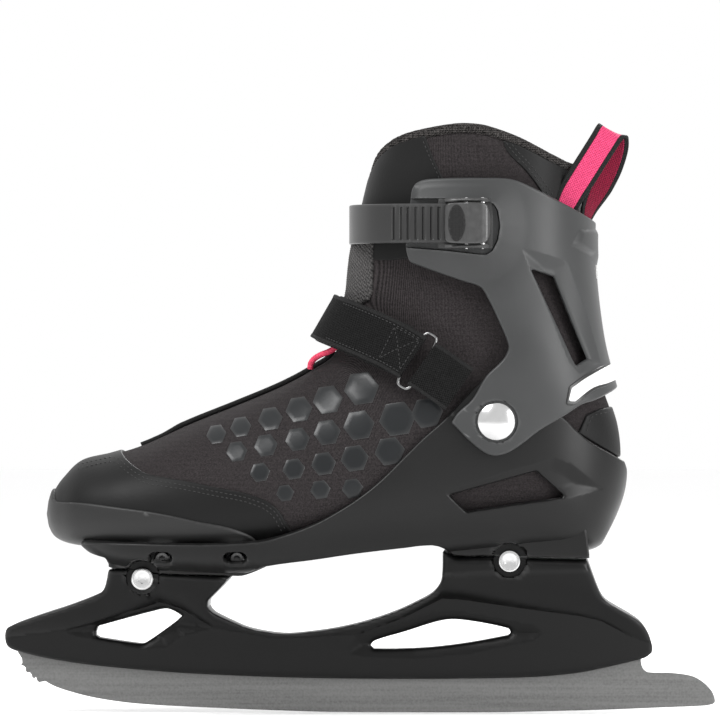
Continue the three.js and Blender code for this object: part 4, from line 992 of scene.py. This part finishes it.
# Cuff badge
# A smooth silver band without lettering, set in the cuff over the heel, on a thin dark rim.
BADGE = [
    [101.3, 152.8], [102.9, 159.1], [110.7, 164.5], [124, 171.6], [129, 170], [129, 165],
    [121, 161.5], [113, 159.1], [104.5, 152.6],
]
BADGE_RIM = [
    [100.2, 151], [101.8, 160], [110, 165.8], [124, 173], [131, 171.5], [131, 163.2], [121, 160],
    [113.6, 157.6], [105, 151],
]
trim_sheet = boot_grid(8, 17, 220, 300, grow=8.7)
silver = dressed(
    "badge_silver", MOULDED, Base=(0.62, 0.62, 0.61, 1), Worn=(0.75, 0.75, 0.75, 1), Gloss=0.32,
    Grain=900.0, Depth=0.00001)
badge = patch("cuff_badge", trim_sheet, BADGE, height=1.35, back=-0.4, radius=0.5)
fitted(badge, silver, "badge_silver", "cuff_body", "cuff_badge")
badge_rim = patch("cuff_badge_rim", trim_sheet, BADGE_RIM, height=0.75, back=-0.5, radius=0.5)
fitted(badge_rim, nylon, "nylon", "cuff_body")

# Rear reflector
# A small silver plate let into the back of the cuff under its top lip.
def within_reflector(points):
    x, y, z = points.T
    return np.minimum.reduce([x - 104, z - 212, 219 - z, 9 - np.abs(y)])


reflector = trimmed_skin(
    "rear_reflector", boot_grid(14, 20, 130, 300, grow=8.7), within_reflector, raised(1.6, 0.6), -0.3,
    radius=0.6)
fitted(reflector, silver, "badge_silver", "cuff_body", "rear_reflector")

# Buckle base
# Moulded base riveted in the cuff's pocket, with two cheeks that carry the lever and the pawl.
BUCKLE_FACE = -52.95
STRAP_Z = 238.5
LEVER_PIN = (60.4, -62.2)
PAWL_PIN = (52.6, -60.2)


def plate_piece(name, outline, low, high, bevel=0.3):
    """An upright plate: an [x, y] outline between two heights, its edges rounded over."""
    count = len(outline)
    points = [(x * MM, y * MM, level * MM) for level in (low, high) for x, y in outline]
    faces = [tuple(range(count)), tuple(range(count, 2 * count))] + band(0, count, count)
    piece = mesh_object(name, points, faces)
    form = bmesh.new()
    form.from_mesh(piece.data)
    bmesh.ops.bevel(
        form, geom=form.edges[:], offset=bevel * MM, segments=2, affect="EDGES", clamp_overlap=True)
    for face in form.faces:
        face.smooth = True
    form.to_mesh(piece.data)
    form.free()
    return piece


cheek = [
    (42, BUCKLE_FACE - 1), (42, BUCKLE_FACE - 5.6), (50, BUCKLE_FACE - 9.4), (57, BUCKLE_FACE - 11.4),
    (62.5, BUCKLE_FACE - 11.4), (64, BUCKLE_FACE - 8), (64, BUCKLE_FACE - 1),
]
base_floor = [(39, BUCKLE_FACE), (65, BUCKLE_FACE), (65, BUCKLE_FACE - 1.4), (39, BUCKLE_FACE - 1.4)]
buckle_base = joined(
    "buckle_base", plate_piece("base_floor", base_floor, 226.5, 250.5),
    plate_piece("lower_cheek", cheek, 226.5, 228.3), plate_piece("upper_cheek", cheek, 248.7, 250.5))
fitted(buckle_base, nylon, "buckle_plastic", "cuff_body", "buckle_base")
for k, rivet_x in enumerate((45, 59)):
    buckle_rivet = turned(f"buckle_rivet_{k + 1}", [
        [0, 54.3], [1, 54.2], [1.5, 53.9], [1.6, 53.5], [1.6, 48.3], [0, 48.3]],
        (rivet_x, 0, STRAP_Z), (0, -1, 0), sides=28)
    fitted(buckle_rivet, black_steel, "black_steel", "cuff_body", f"buckle_rivet_{k + 1}")
for pin_name, pin_place, radius in (("lever_pin", LEVER_PIN, 1.2), ("pawl_pin", PAWL_PIN, 0.9)):
    pin = turned(pin_name, [
        [0, 226.1], [radius * 0.7, 226.15], [radius, 226.5], [radius, 250.5], [radius * 0.7, 250.85],
        [0, 250.9]], (*pin_place, 0), (0, 0, 1), sides=28)
    fitted(pin, bright_steel, "bright_steel", "cuff_body", pin_name)

# Buckle lever
# Die-cast lever with a smooth satin face and a rounded end; its other half carries the grip pad.
LEVER_TOP = (
    [42.1, 44, 52, 53.2, 60, 62.6, 64.0, 64.8], [63.9, 65.35, 65.85, 66.5, 66.5, 65.7, 64.2, 62.8])
LEVER_BACK = (
    [42.1, 44.5, 46, 53, 56.8, 57.6, 61, 63.8, 64.8],
    [61.6, 61.2, 63.2, 63.7, 62.8, 59.6, 58.4, 59.6, 61.2])
LEVER = [
    [42.1, 233], [42.6, 230.4], [44, 229], [47, 228.7], [60.5, 228.7], [62.8, 230], [64.2, 233.5],
    [64.8, 238.5], [64.2, 243.5], [62.8, 247], [60.5, 248.3], [47, 248.3], [44, 248], [42.6, 246.6],
    [42.1, 244],
]
buckle_lever = trimmed_skin(
    "buckle_lever", flat_sheet((41, 227.5), (66, 249.5), 0.55), within(LEVER),
    lambda points, depth: np.interp(points[:, 0], *LEVER_TOP) + rounded(depth, 0.8),
    lambda points, depth: np.interp(points[:, 0], *LEVER_BACK), radius=0.8,
    creases=[lambda points: points[:, 0] - 53.2])
lever_metal = dressed(
    "lever_metal", STEEL, metallic=0.8, Base=(0.072, 0.072, 0.072, 1), Gloss=0.36,
    Lines=(300, 300, 300), Mottle=500.0, Spread=0.15)
fitted(buckle_lever, lever_metal, "buckle_plastic", "lever", "buckle_lever")

# Lever grip pad
# An oval rubber pad on the lever, cross-hatched so that a gloved thumb holds it.
grip_outline = ring_outline((47.9, STRAP_Z), 8.2, 8.2)
grip_outline[:, 1] = STRAP_Z + (grip_outline[:, 1] - STRAP_Z) * 2.15


def grip_face(points, depth):
    x, z = points[:, 0], points[:, 2]
    hatch = np.sin((x * 1.6 + z) * 3.9) * np.sin((x * 1.6 - z) * 3.9)
    return np.interp(x, *LEVER_TOP) + 0.5 + 0.16 * hatch + rounded(depth, 0.4)


grip_rubber = dressed(
    "grip_rubber", MOULDED, specular=0.25, Base=0.006, Worn=0.05, Gloss=0.55, Grain=900.0,
    Depth=0.00003)
grip_pad = trimmed_skin(
    "lever_grip_pad", flat_sheet((42.5, 228.5), (53.5, 248.5), 0.22), within(grip_outline), grip_face,
    lambda points, depth: np.interp(points[:, 0], *LEVER_TOP) - 0.4, radius=0.4)
fitted(grip_pad, grip_rubber, "nylon", "lever", "lever_grip_pad")

# Buckle pawl
# Sprung steel pawl between the cheeks whose tip drops behind the strap's teeth.
pawl_outline = [
    (46.1, BUCKLE_FACE - 5), (47.4, -61.6), (53.2, -62.2), (54.8, -60.2), (53.2, -58.6), (49.2, -59.5),
    (47, BUCKLE_FACE - 4.9),
]
pawl = plate_piece("buckle_pawl", pawl_outline, 229, 248, bevel=0.15)
fitted(pawl, bright_steel, "bright_steel", "pawl", "buckle_pawl")

# Ladder strap
# Flexible nylon strap round the front of the leg. Its edges are raised rails, with sawn teeth
# between them where it runs through the buckle.
LADDER_STOPS = [
    [61, -56.2], [48, -56.2], [36, -56.1], [25, -54.6], [13, -48.4], [4, -38], [-2.4, -22], [-4.4, 0],
    [-2.4, 22], [4, 38], [13, 47.5], [23, 52.6], [32, 54.2], [40, 54.6],
]
TOOTH_PITCH = 3.7


def curve_through(stops, count, closed=False):
    """Evenly spaced points on a smooth curve through the stops."""
    stops = np.array(stops, float)
    if closed:
        stops = np.vstack([stops[-1], stops, stops[0], stops[1]])
    else:
        stops = np.vstack([2 * stops[0] - stops[1], stops, 2 * stops[-1] - stops[-2]])
    t = np.linspace(0, 1, 24, endpoint=False)[:, None]
    dense = []
    for a, b, c, d in zip(stops, stops[1:], stops[2:], stops[3:]):
        bend = (2 * a - 5 * b + 4 * c - d) * t ** 2
        dense.append(0.5 * (2 * b + (c - a) * t + bend + (3 * b - a - 3 * c + d) * t ** 3))
    dense = np.vstack(dense + [stops[-2:-1]])
    places = np.linspace(0, distances(dense)[-1], count + closed)
    return sampled(dense, places[:-1] if closed else places)


def directions(route, across, closed=False):
    """Unit directions along a route, across it, and out from its face."""
    if closed:
        ahead = np.roll(route, -1, axis=0) - np.roll(route, 1, axis=0)
    else:
        ahead = np.gradient(route, axis=0)
    ahead /= np.linalg.norm(ahead, axis=1, keepdims=True)
    across = np.broadcast_to(np.array(across, float), route.shape)
    across = across - np.sum(across * ahead, axis=1, keepdims=True) * ahead
    across /= np.linalg.norm(across, axis=1, keepdims=True)
    return ahead, across, np.cross(ahead, across)


def swept(name, route, across, section, closed=False, smooth_angle=42.0):
    """A closed mesh of a cross-section carried along a route in millimetres. The section is
    [across, out] pairs, or a function of the distance travelled that gives them."""
    _, side, out = directions(route, across, closed)
    travelled = distances(route)
    points = []
    for k in range(len(route)):
        shape = np.array(section(travelled[k]) if callable(section) else section)
        points.append(route[k] + shape[:, :1] * side[k] + shape[:, 1:] * out[k])
    count = len(points[0])
    last = len(route) if closed else len(route) - 1
    faces = []
    for r in range(last):
        faces += band(r * count, (r + 1) % len(route) * count, count)
    if not closed:
        faces += [tuple(range(count))[::-1], tuple(range(last * count, (last + 1) * count))]
    return mesh_object(name, np.vstack(points) * MM, faces, smooth_angle)


def ladder_section(travelled):
    tooth = 1.3
    if 4 < travelled < 45:
        tooth = 0.45 + 0.85 * min(1.0, 1.6 * (1 - travelled % TOOTH_PITCH / TOOTH_PITCH))
    return [
        (-9.5, -1.0), (-9.5, 0.9), (-9.2, 1.3), (-8.0, 1.3), (-7.5, tooth), (7.5, tooth), (8.0, 1.3),
        (9.2, 1.3), (9.5, 0.9), (9.5, -1.0), (9.2, -1.3), (-9.2, -1.3)]


ladder_route = curve_through([[x, y, STRAP_Z] for x, y in LADDER_STOPS], 420)
ladder_strap = swept("ladder_strap", ladder_route, (0, 0, -1), ladder_section, smooth_angle=30)
fitted(ladder_strap, nylon, "nylon", "ladder", "ladder_strap")
anchor = turned("strap_anchor_screw", [
    [0, 58.4], [1.2, 58.5], [1.3, 58.9], [2.5, 58.8], [3.6, 58.4], [4.3, 57.8], [4.6, 56.9], [4.4, 56.6],
    [2, 56.5], [2, 44], [0, 44]], (30, 0, STRAP_Z), (0, 1, 0), sides=40)
fitted(anchor, bright_steel, "bright_steel", "cuff_body", "strap_anchor_screw")

# Instep strap
# Woven hook-and-loop strap over the instep from the inner side to the ring. A loose end folds
# back over it; both have bound edges, and the layers are sewn with a crossed box by the ring.
ACROSS = (-0.5, 0.0, -0.866)
INSTEP_STOPS = [
    [22, -42.9, 177], [15, -41.2, 180], [5, -36.5, 184.6], [-5, -28, 188.8], [-12.4, -16, 191.6],
    [-15.6, 0, 192.8], [-12.4, 17, 191.6], [-5, 29, 188.8], [5, 37.5, 184.6], [15, 42.6, 180],
    [27, 45.4, 173.4], [40, 47.6, 165.4], [48, 49, 160.4],
]
STRAP_END_STOPS = [
    [26.6, -47.9, 173.7], [23, -47.1, 176.1], [15, -44.5, 180.5], [4, -38.9, 185.4], [-7, -29.9, 189.8],
    [-14.8, -17, 192.6], [-18.2, 0, 194], [-17.2, 9, 193.6],
]
webbing = dressed(
    "strap_webbing", WOVEN, specular=0.08, Dark=0.0006, Light=0.016, Pitch=0.0012,
    Warp=(0.81, -0.18, -0.47), Weft=(-0.5, 0.0, -0.866), Depth=0.00015, Sheen=0.9)
binding = dressed(
    "strap_binding", WOVEN, specular=0.15, Dark=0.002, Light=0.02, Pitch=0.0009, Depth=0.0001,
    Sheen=0.75)


def flat_section(width, thickness, middle=0.0, edge=0.4):
    """Cross-section of a flat strap, its corners taken off."""
    half, up = width / 2, thickness / 2
    corners = [(-half, edge - up), (-half, up - edge), (edge - half, up), (half - edge, up),
               (half, up - edge), (half, edge - up), (half - edge, -up), (edge - half, -up)]
    return [(a + middle, b) for a, b in corners]


def bound_edges(name, route, across, width, thickness):
    """The two bound edges of a strap, a little thicker than its weave."""
    edges = []
    for side in (-1, 1):
        middle = side * (width / 2 - 1.0)
        edges.append(swept(f"{name}_{side}", route, across, flat_section(2.0, thickness, middle, 0.35)))
    return joined(name, *edges)


def stitches(name, places, length=1.5, radius=0.26):
    """One object of many short stitches, each given by its centre, direction and face direction."""
    points, faces = [], []
    for centre, along, out in places:
        side = np.cross(along, out)
        first = len(points)
        for t in (-1.0, -0.7, 0.0, 0.7, 1.0):
            reach = radius * math.sqrt(1.02 - t * t)
            for k in range(6):
                angle = k * math.pi / 3
                lift = reach * math.sin(angle) - radius * 0.9 * t * t
                middle = centre + along * (t * length / 2)
                points.append(middle + side * (reach * math.cos(angle)) + out * lift)
        for low in range(first, first + 24, 6):
            faces += band(low, low + 6, 6)
        faces += [tuple(range(first, first + 6))[::-1], tuple(range(first + 24, first + 30))]
    return mesh_object(name, np.array(points) * MM, faces, smooth_angle=80)


def sampled_frame(route, frames, distance):
    """A route's place and its three directions at a distance along it."""
    travelled = distances(route)
    return np.array([np.interp(distance, travelled, column) for column in frames.T]).reshape(4, 3)


def strap_rows(route, *paths, height=0.85, pitch=2.1):
    """Stitches along paths on a strap, given as [distance along, distance across] corners."""
    frames = np.hstack([route, *directions(route, ACROSS)])
    places = []
    for start, stop in [pair for path in paths for pair in zip(path, path[1:])]:
        start, stop = np.array(start, float), np.array(stop, float)
        span = np.linalg.norm(stop - start)
        for k in range(max(int(span / pitch), 1)):
            at = start + (stop - start) * (k + 0.5) * pitch / span
            spot, ahead, side, out = sampled_frame(route, frames, at[0])
            heading = (ahead * (stop - start)[0] + side * (stop - start)[1]) / span
            place = spot + side * at[1] + out * height
            places.append((place, heading / np.linalg.norm(heading), out))
    return places


thread = dressed(
    "sewing_thread", WOVEN, Dark=0.004, Light=0.03, Pitch=0.0005, Depth=0.00005, Sheen=0.6)
instep_route = curve_through(INSTEP_STOPS, 150)
instep_strap = swept("instep_strap", instep_route, ACROSS, flat_section(24, 1.5))
fitted(instep_strap, webbing, "webbing", "skate", "instep_strap")
fitted(bound_edges("instep_strap_binding", instep_route, ACROSS, 25, 1.7), binding, "webbing", "skate")
end_route = curve_through(STRAP_END_STOPS, 110)
strap_end = swept("strap_end", end_route, ACROSS, flat_section(23, 1.6))
fitted(strap_end, webbing, "webbing", "strap_flap", "strap_end")
fitted(bound_edges("strap_end_binding", end_route, ACROSS, 24, 1.9), binding, "webbing", "strap_flap")
box_path = [(2, -8.5), (15, 8.5), (15, -8.5), (2, 8.5), (2, -8.5), (15, -8.5)]
long_rows = [[(2, side), (52, side)] for side in (-9.4, 9.4)]
end_stitches = strap_rows(end_route, box_path, *long_rows)
fitted(stitches("strap_end_stitches", end_stitches), thread, "webbing", "strap_flap")

# Strap ring and its webbing
# A bent steel wire ring the strap folds through, held by short webbing that goes under the cuff.
ring_centre = np.array([28.6, -46.6, 172.2])
ring_across = np.array(ACROSS) / np.linalg.norm(ACROSS)
ring_along = np.array([0.81, -0.18, -0.47]) / np.linalg.norm([0.81, -0.18, -0.47])
ring_corners = []
for turn in np.linspace(0, 2 * np.pi, 41)[:-1] + 0.04:
    c, s = math.cos(turn), math.sin(turn)
    along, across = 3.7 * math.copysign(abs(c) ** 0.55, c), 14.6 * math.copysign(abs(s) ** 0.3, s)
    ring_corners.append(ring_centre + ring_along * along + ring_across * across)


def round_section(radius, count=12):
    """Cross-section of a round wire or cord."""
    angles = [2 * math.pi * k / count for k in range(count)]
    return [(radius * math.cos(angle), radius * math.sin(angle)) for angle in angles]


ring_route = curve_through(ring_corners, 120, closed=True)
ring_face = np.cross(ring_along, ring_across)
strap_ring = swept("strap_ring", ring_route, ring_face, round_section(0.75), closed=True)
ring_steel = dressed(
    "ring_steel", STEEL, metallic=1, Base=(0.2, 0.2, 0.2, 1), Gloss=0.22, Mottle=200.0, Spread=0.1)
fitted(strap_ring, ring_steel, "bright_steel", "skate", "strap_ring")
WEBBING_STOPS = [
    [30.9, -49.1, 171], [33.8, -49.4, 169], [38, -48.7, 166.2], [44, -48.8, 162], [49, -48.6, 158.5]]
webbing_route = curve_through(WEBBING_STOPS, 30)
ring_webbing = swept("ring_webbing", webbing_route, ACROSS, flat_section(23.6, 1.6))
fitted(ring_webbing, webbing, "webbing", "skate", "ring_webbing")
fitted(bound_edges("ring_webbing_binding", webbing_route, ACROSS, 24.4, 1.8), binding, "webbing", "skate")
webbing_rows = [[(3.2, -9.6), (3.2, 9.6)], [(5.4, -9.6), (5.4, 9.6)]]
webbing_stitches = strap_rows(webbing_route, *webbing_rows)
fitted(stitches("ring_webbing_stitches", webbing_stitches), thread, "webbing", "skate")

# Lace loop
# A short loop of round braided cord on the instep, for pulling the tongue forward.
LACE_STOPS = [
    [-24.7, -7, 168.4], [-24.2, -8, 171], [-22.2, -9.4, 173.4], [-19, -11.2, 175.2], [-15.4, -12.6, 176.6],
    [-12.2, -12.6, 178.6], [-10.6, -11, 181.4],
]


def braid_section(travelled):
    angle = np.linspace(0, 2 * np.pi, 17)[:-1]
    plait = 1.42 + 0.09 * np.sin(3 * angle + travelled * 2.4) * np.sin(3 * angle - travelled * 2.4)
    return np.stack([plait * np.cos(angle), plait * np.sin(angle)], 1)


lace_loop = swept("lace_loop", curve_through(LACE_STOPS, 90), (0, 1, 0.2), braid_section)
pink_cord = dressed(
    "pink_cord", WOVEN, Dark=(0.42, 0.012, 0.05, 1), Light=(0.85, 0.07, 0.15, 1), Pitch=0.0012,
    Depth=0.0001, Sheen=0.7)
fitted(lace_loop, pink_cord, "pink_cord", "skate", "lace_loop")

# Pull loop
# Ribbed woven tape folded into a loop at the back of the collar: pink, with black edges.
PULL_STOPS = [
    [98.8, -28.6, 235.5], [98.6, -29.2, 243.5], [102.8, -29.5, 253], [108.4, -29.6, 262],
    [113.8, -29, 270.6], [118.6, -27.6, 278.2], [121.2, -25, 282.4], [122.5, -21.4, 283.4],
    [123.6, -17.6, 281.2], [123.6, -14.6, 275.4], [121, -11.6, 266.4], [116.8, -8.6, 256.6],
    [111.8, -5.8, 246.2], [109, -4.6, 236],
]
PULL_ACROSS = [
    [0.58, 0.81, 0], [0.68, 0.68, -0.25], [0.82, 0.4, -0.45], [0.85, 0.3, -0.5], [0.85, 0.3, -0.5],
    [0.85, 0.28, -0.48], [0.87, 0.2, -0.46], [0.88, 0.1, -0.46], [0.88, 0.2, -0.44], [0.86, 0.3, -0.42],
    [0.84, 0.4, -0.42], [0.74, 0.58, -0.35], [0.46, 0.86, -0.18], [0.12, 0.99, 0],
]
PULL_WIDTH = 14.6
pull_route = curve_through(PULL_STOPS, 140)
nearest = [np.argmin(np.linalg.norm(pull_route - stop, axis=1)) for stop in PULL_STOPS]
pull_across = np.stack([np.interp(range(140), nearest, column) for column in np.transpose(PULL_ACROSS)], 1)
pull_loop = swept("pull_loop", pull_route, pull_across, flat_section(PULL_WIDTH - 4.4, 1.3))
pink_tape = dressed(
    "pink_webbing", WOVEN, specular=0.3, Dark=(0.32, 0.01, 0.06, 1), Light=(0.68, 0.06, 0.17, 1),
    Pitch=0.0014, Warp=(0.3, 0.2, 1.0), Weft=(0.8, 0.5, -0.2), Depth=0.0001, Sheen=0.75)
fitted(pull_loop, pink_tape, "pink_webbing", "cuff_body", "pull_loop")
# Faces that look into the loop take a darker copy of the pink tape: painted shade for the inside of the
# loop, not a different colour of the tape.
pull_loop.data.materials.append(dressed(
    "pink_webbing_painted_shade", WOVEN, specular=0.15, Dark=(0.07, 0.001, 0.01, 1),
    Light=(0.22, 0.005, 0.03, 1), Pitch=0.0014, Warp=(0.3, 0.2, 1.0), Weft=(0.8, 0.5, -0.2),
    Depth=0.0001, Sheen=0.75))
loop_middle = Vector((0.1135, -0.017, 0.26))
for face in pull_loop.data.polygons:
    face.material_index = int(face.normal.dot(loop_middle - face.center) > 0)
tape_edges = [
    swept(f"tape_edge_{side}", pull_route, pull_across,
          flat_section(2.4, 1.5, side * (PULL_WIDTH / 2 - 1.3), 0.35))
    for side in (-1, 1)]
fitted(joined("pull_loop_edges", *tape_edges), binding, "webbing", "cuff_body")

# Tongue
# Padded tongue in open spacer mesh that stands in front of the leg above the instep strap.
TONGUE = [[-18, 231], [-18, 199], [0, 199.5], [4.6, 201.5], [6.4, 206], [6.8, 214], [7.2, 222], [7.6, 231]]


def tongue_face(points, depth):
    holes = np.sin(points[:, 2] * 2.9) * np.sin(points[:, 1] * 2.9 + points[:, 0] * 2.1)
    return 1.5 + rounded(depth, 1.0) + 0.22 * holes


tongue = trimmed_skin("tongue", boot_grid(11, 18, 260, 760), within(TONGUE), tongue_face, -0.8, radius=1.0)
tongue_mesh = dressed(
    "tongue_mesh", WOVEN, Dark=0.002, Light=grey(0.075, 0.06), Pitch=0.0024, Warp=(0.2, 0.6, 1.0),
    Weft=(0.8, -0.9, 0.3), Depth=0.0003, Sheen=0.8)
tongue.data.materials.append(tongue_mesh)
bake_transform(tongue)
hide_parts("tongue")

# Stitching
# Dark lock-stitch rows that hold the toe cap, the collar panels and the heel patch.
TOE_SEAM = [
    [-139.7, 123], [-128, 125.8], [-120.9, 126.9], [-116.3, 125.9], [-112.5, 123], [-107.8, 119.8],
    [-102.2, 117], [-94.7, 115.6], [-82.5, 113.7], [-68.5, 110.9], [-56.3, 108.6], [-49.7, 106.7],
    [-44, 104.4],
    [-39.4, 101], [-36.6, 97.3], [-35.2, 94.5], [-33.6, 91.5],
]


def surface_tree(*pieces):
    """A search tree over several pieces' faces."""
    vertices, polygons = [], []
    for piece in pieces:
        first = len(vertices)
        vertices += [v.co.copy() for v in piece.data.vertices]
        polygons += [[first + i for i in p.vertices] for p in piece.data.polygons]
    return BVHTree.FromPolygons(vertices, polygons)


def on_side(tree, x, z, side):
    """Where a line across the skate first meets a surface: place and normal, or None."""
    place, normal, _, _ = tree.ray_cast(Vector((x * MM, side * 0.2, z * MM)), Vector((0, -side, 0)))
    return None if place is None else (np.array(place) / MM, np.array(normal))


def seam(tree, route, inset, side, pitch=2.3):
    """Stitches beside a seam drawn from the side, set in by a distance, on one side of the boot."""
    walk = curve_through([[x, 0, z] for x, z in route], 400)[:, [0, 2]]
    ahead = np.gradient(walk, axis=0)
    ahead /= np.linalg.norm(ahead, axis=1, keepdims=True)
    walk = walk + np.stack([ahead[:, 1], -ahead[:, 0]], 1) * inset
    travelled = distances(walk)
    places = []
    for distance in np.arange(pitch / 2, travelled[-1], pitch):
        ends = [distance, min(distance + 0.6, travelled[-1])]
        here, there = (on_side(tree, x, z, side) for x, z in sampled(walk, ends))
        if here is None or there is None or np.linalg.norm(there[0] - here[0]) > 2.5:
            continue
        place, normal = here
        heading = there[0] - place
        heading = heading - normal * (heading @ normal)
        places.append((place + normal * 0.12, heading / (np.linalg.norm(heading) + 1e-9), normal))
    return places


def seams(tree, *rows):
    """Stitches on both sides of the boot beside several seams, given as (route, inset)."""
    return [place for side in (-1, 1) for route, inset in rows for place in seam(tree, route, inset, side)]


boot_tree = surface_tree(boot_upper, toe_cap, toe_bumper)
toe_rows = seams(boot_tree, (TOE_SEAM, 1.9), (TOE_SEAM, 3.9))
fitted(stitches("toe_cap_stitches", toe_rows), thread, "synthetic_leather", "skate")
collar_pieces = [bpy.data.objects[f"{end}_collar_panel"] for end in ("front", "rear")]
FRONT_SEAM = [[32.6, 279.5], [36.5, 270], [40.6, 260], [40.6, 246]]
REAR_SEAM = [[70.2, 277], [74.5, 271.5], [82, 263.5], [90.6, 252], [95, 242]]
panel_tree = surface_tree(*collar_pieces, boot_upper)
panel_rows = seams(panel_tree, (FRONT_SEAM, 1.5), (REAR_SEAM, -1.4), (REAR_SEAM, -3.2))
fitted(stitches("collar_stitches", panel_rows), thread, "synthetic_leather", "cuff_body")
HEEL_SEAM = [[109, 138], [112.5, 146], [119, 148], [127, 148.5]]
heel_rows = seams(surface_tree(boot_upper, heel_patch), (HEEL_SEAM, 1.2))
fitted(stitches("heel_stitches", heel_rows), thread, "synthetic_leather", "skate")

# Hexagon prints
# Raised glossy film cells on both sides of the foot, growing and crowding towards the ankle.
HEXAGONS = [
    (-67.8, 145.1, 9.3), (-54.9, 149, 9.8), (-41, 154.4, 10.3), (-27.1, 160.9, 13.2), (-12.6, 166.6, 14.5),
    (-69.4, 136.4, 8.8), (-57.5, 140, 9.3), (-43.1, 143.9, 10.8), (-29.2, 148.5, 11.8), (-15.2, 153.2, 13.2),
    (1.3, 158.8, 15.5), (-59, 128.2, 9.3), (-44.9, 131.2, 10.3), (-29.6, 134.1, 10.8), (-15.2, 137.5, 11.8),
    (0.2, 141, 13.7), (18.8, 144.1, 16), (33.2, 147, 14), (-47.5, 118.3, 8.8), (-31.2, 119.9, 9.8),
    (-16.8, 122.4, 10.8), (-1.8, 125, 12.3), (15.2, 128.4, 13.2), (-35.3, 108.3, 7.8), (-18.3, 109.9, 8.8),
    (-2.8, 110.5, 9.3),
]
FILM = 0.3


CELL_RINGS = ((1, -0.35), (1, FILM - 0.12), (0.95, FILM), (0.6, FILM), (0.25, FILM))
CORNERS = [(math.cos(k * math.pi / 3 + 0.15), math.sin(k * math.pi / 3 + 0.15)) for k in range(6)]
CELL_RIM = [
    np.array(CORNERS[k]) * (1 - t) + np.array(CORNERS[(k + 1) % 6]) * t
    for k in range(6) for t in (0, 0.25, 0.5, 0.75)]


def film_cells(name, cells, tree, side):
    """Thin six-sided cells laid on a surface, each closed and sunk a little into it."""
    points, faces = [], []
    count = len(CELL_RIM)
    for x, z, across in cells:
        rings = []
        for scale, height in CELL_RINGS:
            spread_out = [corner * scale * across / 1.78 for corner in CELL_RIM]
            hits = [on_side(tree, x + step[0], z + step[1], side) for step in spread_out]
            rings.append([hit[0] + hit[1] * height for hit in hits if hit is not None])
        if any(len(ring) < count for ring in rings):
            continue
        if max(np.linalg.norm(a - b) for ring in rings for a, b in zip(ring, ring[1:])) > 7:
            continue
        first = len(points)
        last = first + (len(rings) - 1) * count
        points += [spot for ring in rings for spot in ring]
        for low in range(first, last, count):
            faces += band(low, low + count, count)
        faces += [tuple(range(first, first + count))[::-1], tuple(range(last, last + count))]
    return mesh_object(name, np.array(points) * MM, faces, smooth_angle=30)


film = dressed(
    "glossy_film", MOULDED, specular=0.3, Base=(0.006, 0.007, 0.008, 1), Worn=0.05, Gloss=0.3,
    Grain=500.0, Depth=0.00001)
foot_tree = surface_tree(boot_upper)
for side, side_name in ((-1, "lateral"), (1, "medial")):
    hexagons = film_cells(f"{side_name}_hexagons", HEXAGONS, foot_tree, side)
    fitted(hexagons, film, "synthetic_leather", "skate")

# Instep piping
# A round black piping sewn along the top of the foot, from the toe cap to the instep strap.
piping_stops = []
for x in np.arange(-108, -12, 3.8):
    place, normal, _, _ = foot_tree.ray_cast(Vector((x * MM, 0.002, 0.3)), Vector((0, 0, -1)))
    piping_stops.append(np.array(place) / MM + np.array([0, 0, 0.5 + 0.9 * min(max((x + 97) / 8, 0), 1)]))
piping = swept("instep_piping", curve_through(piping_stops, 120), (0, 1, 0), round_section(1.3))
fitted(piping, binding, "boot_fabric", "skate")
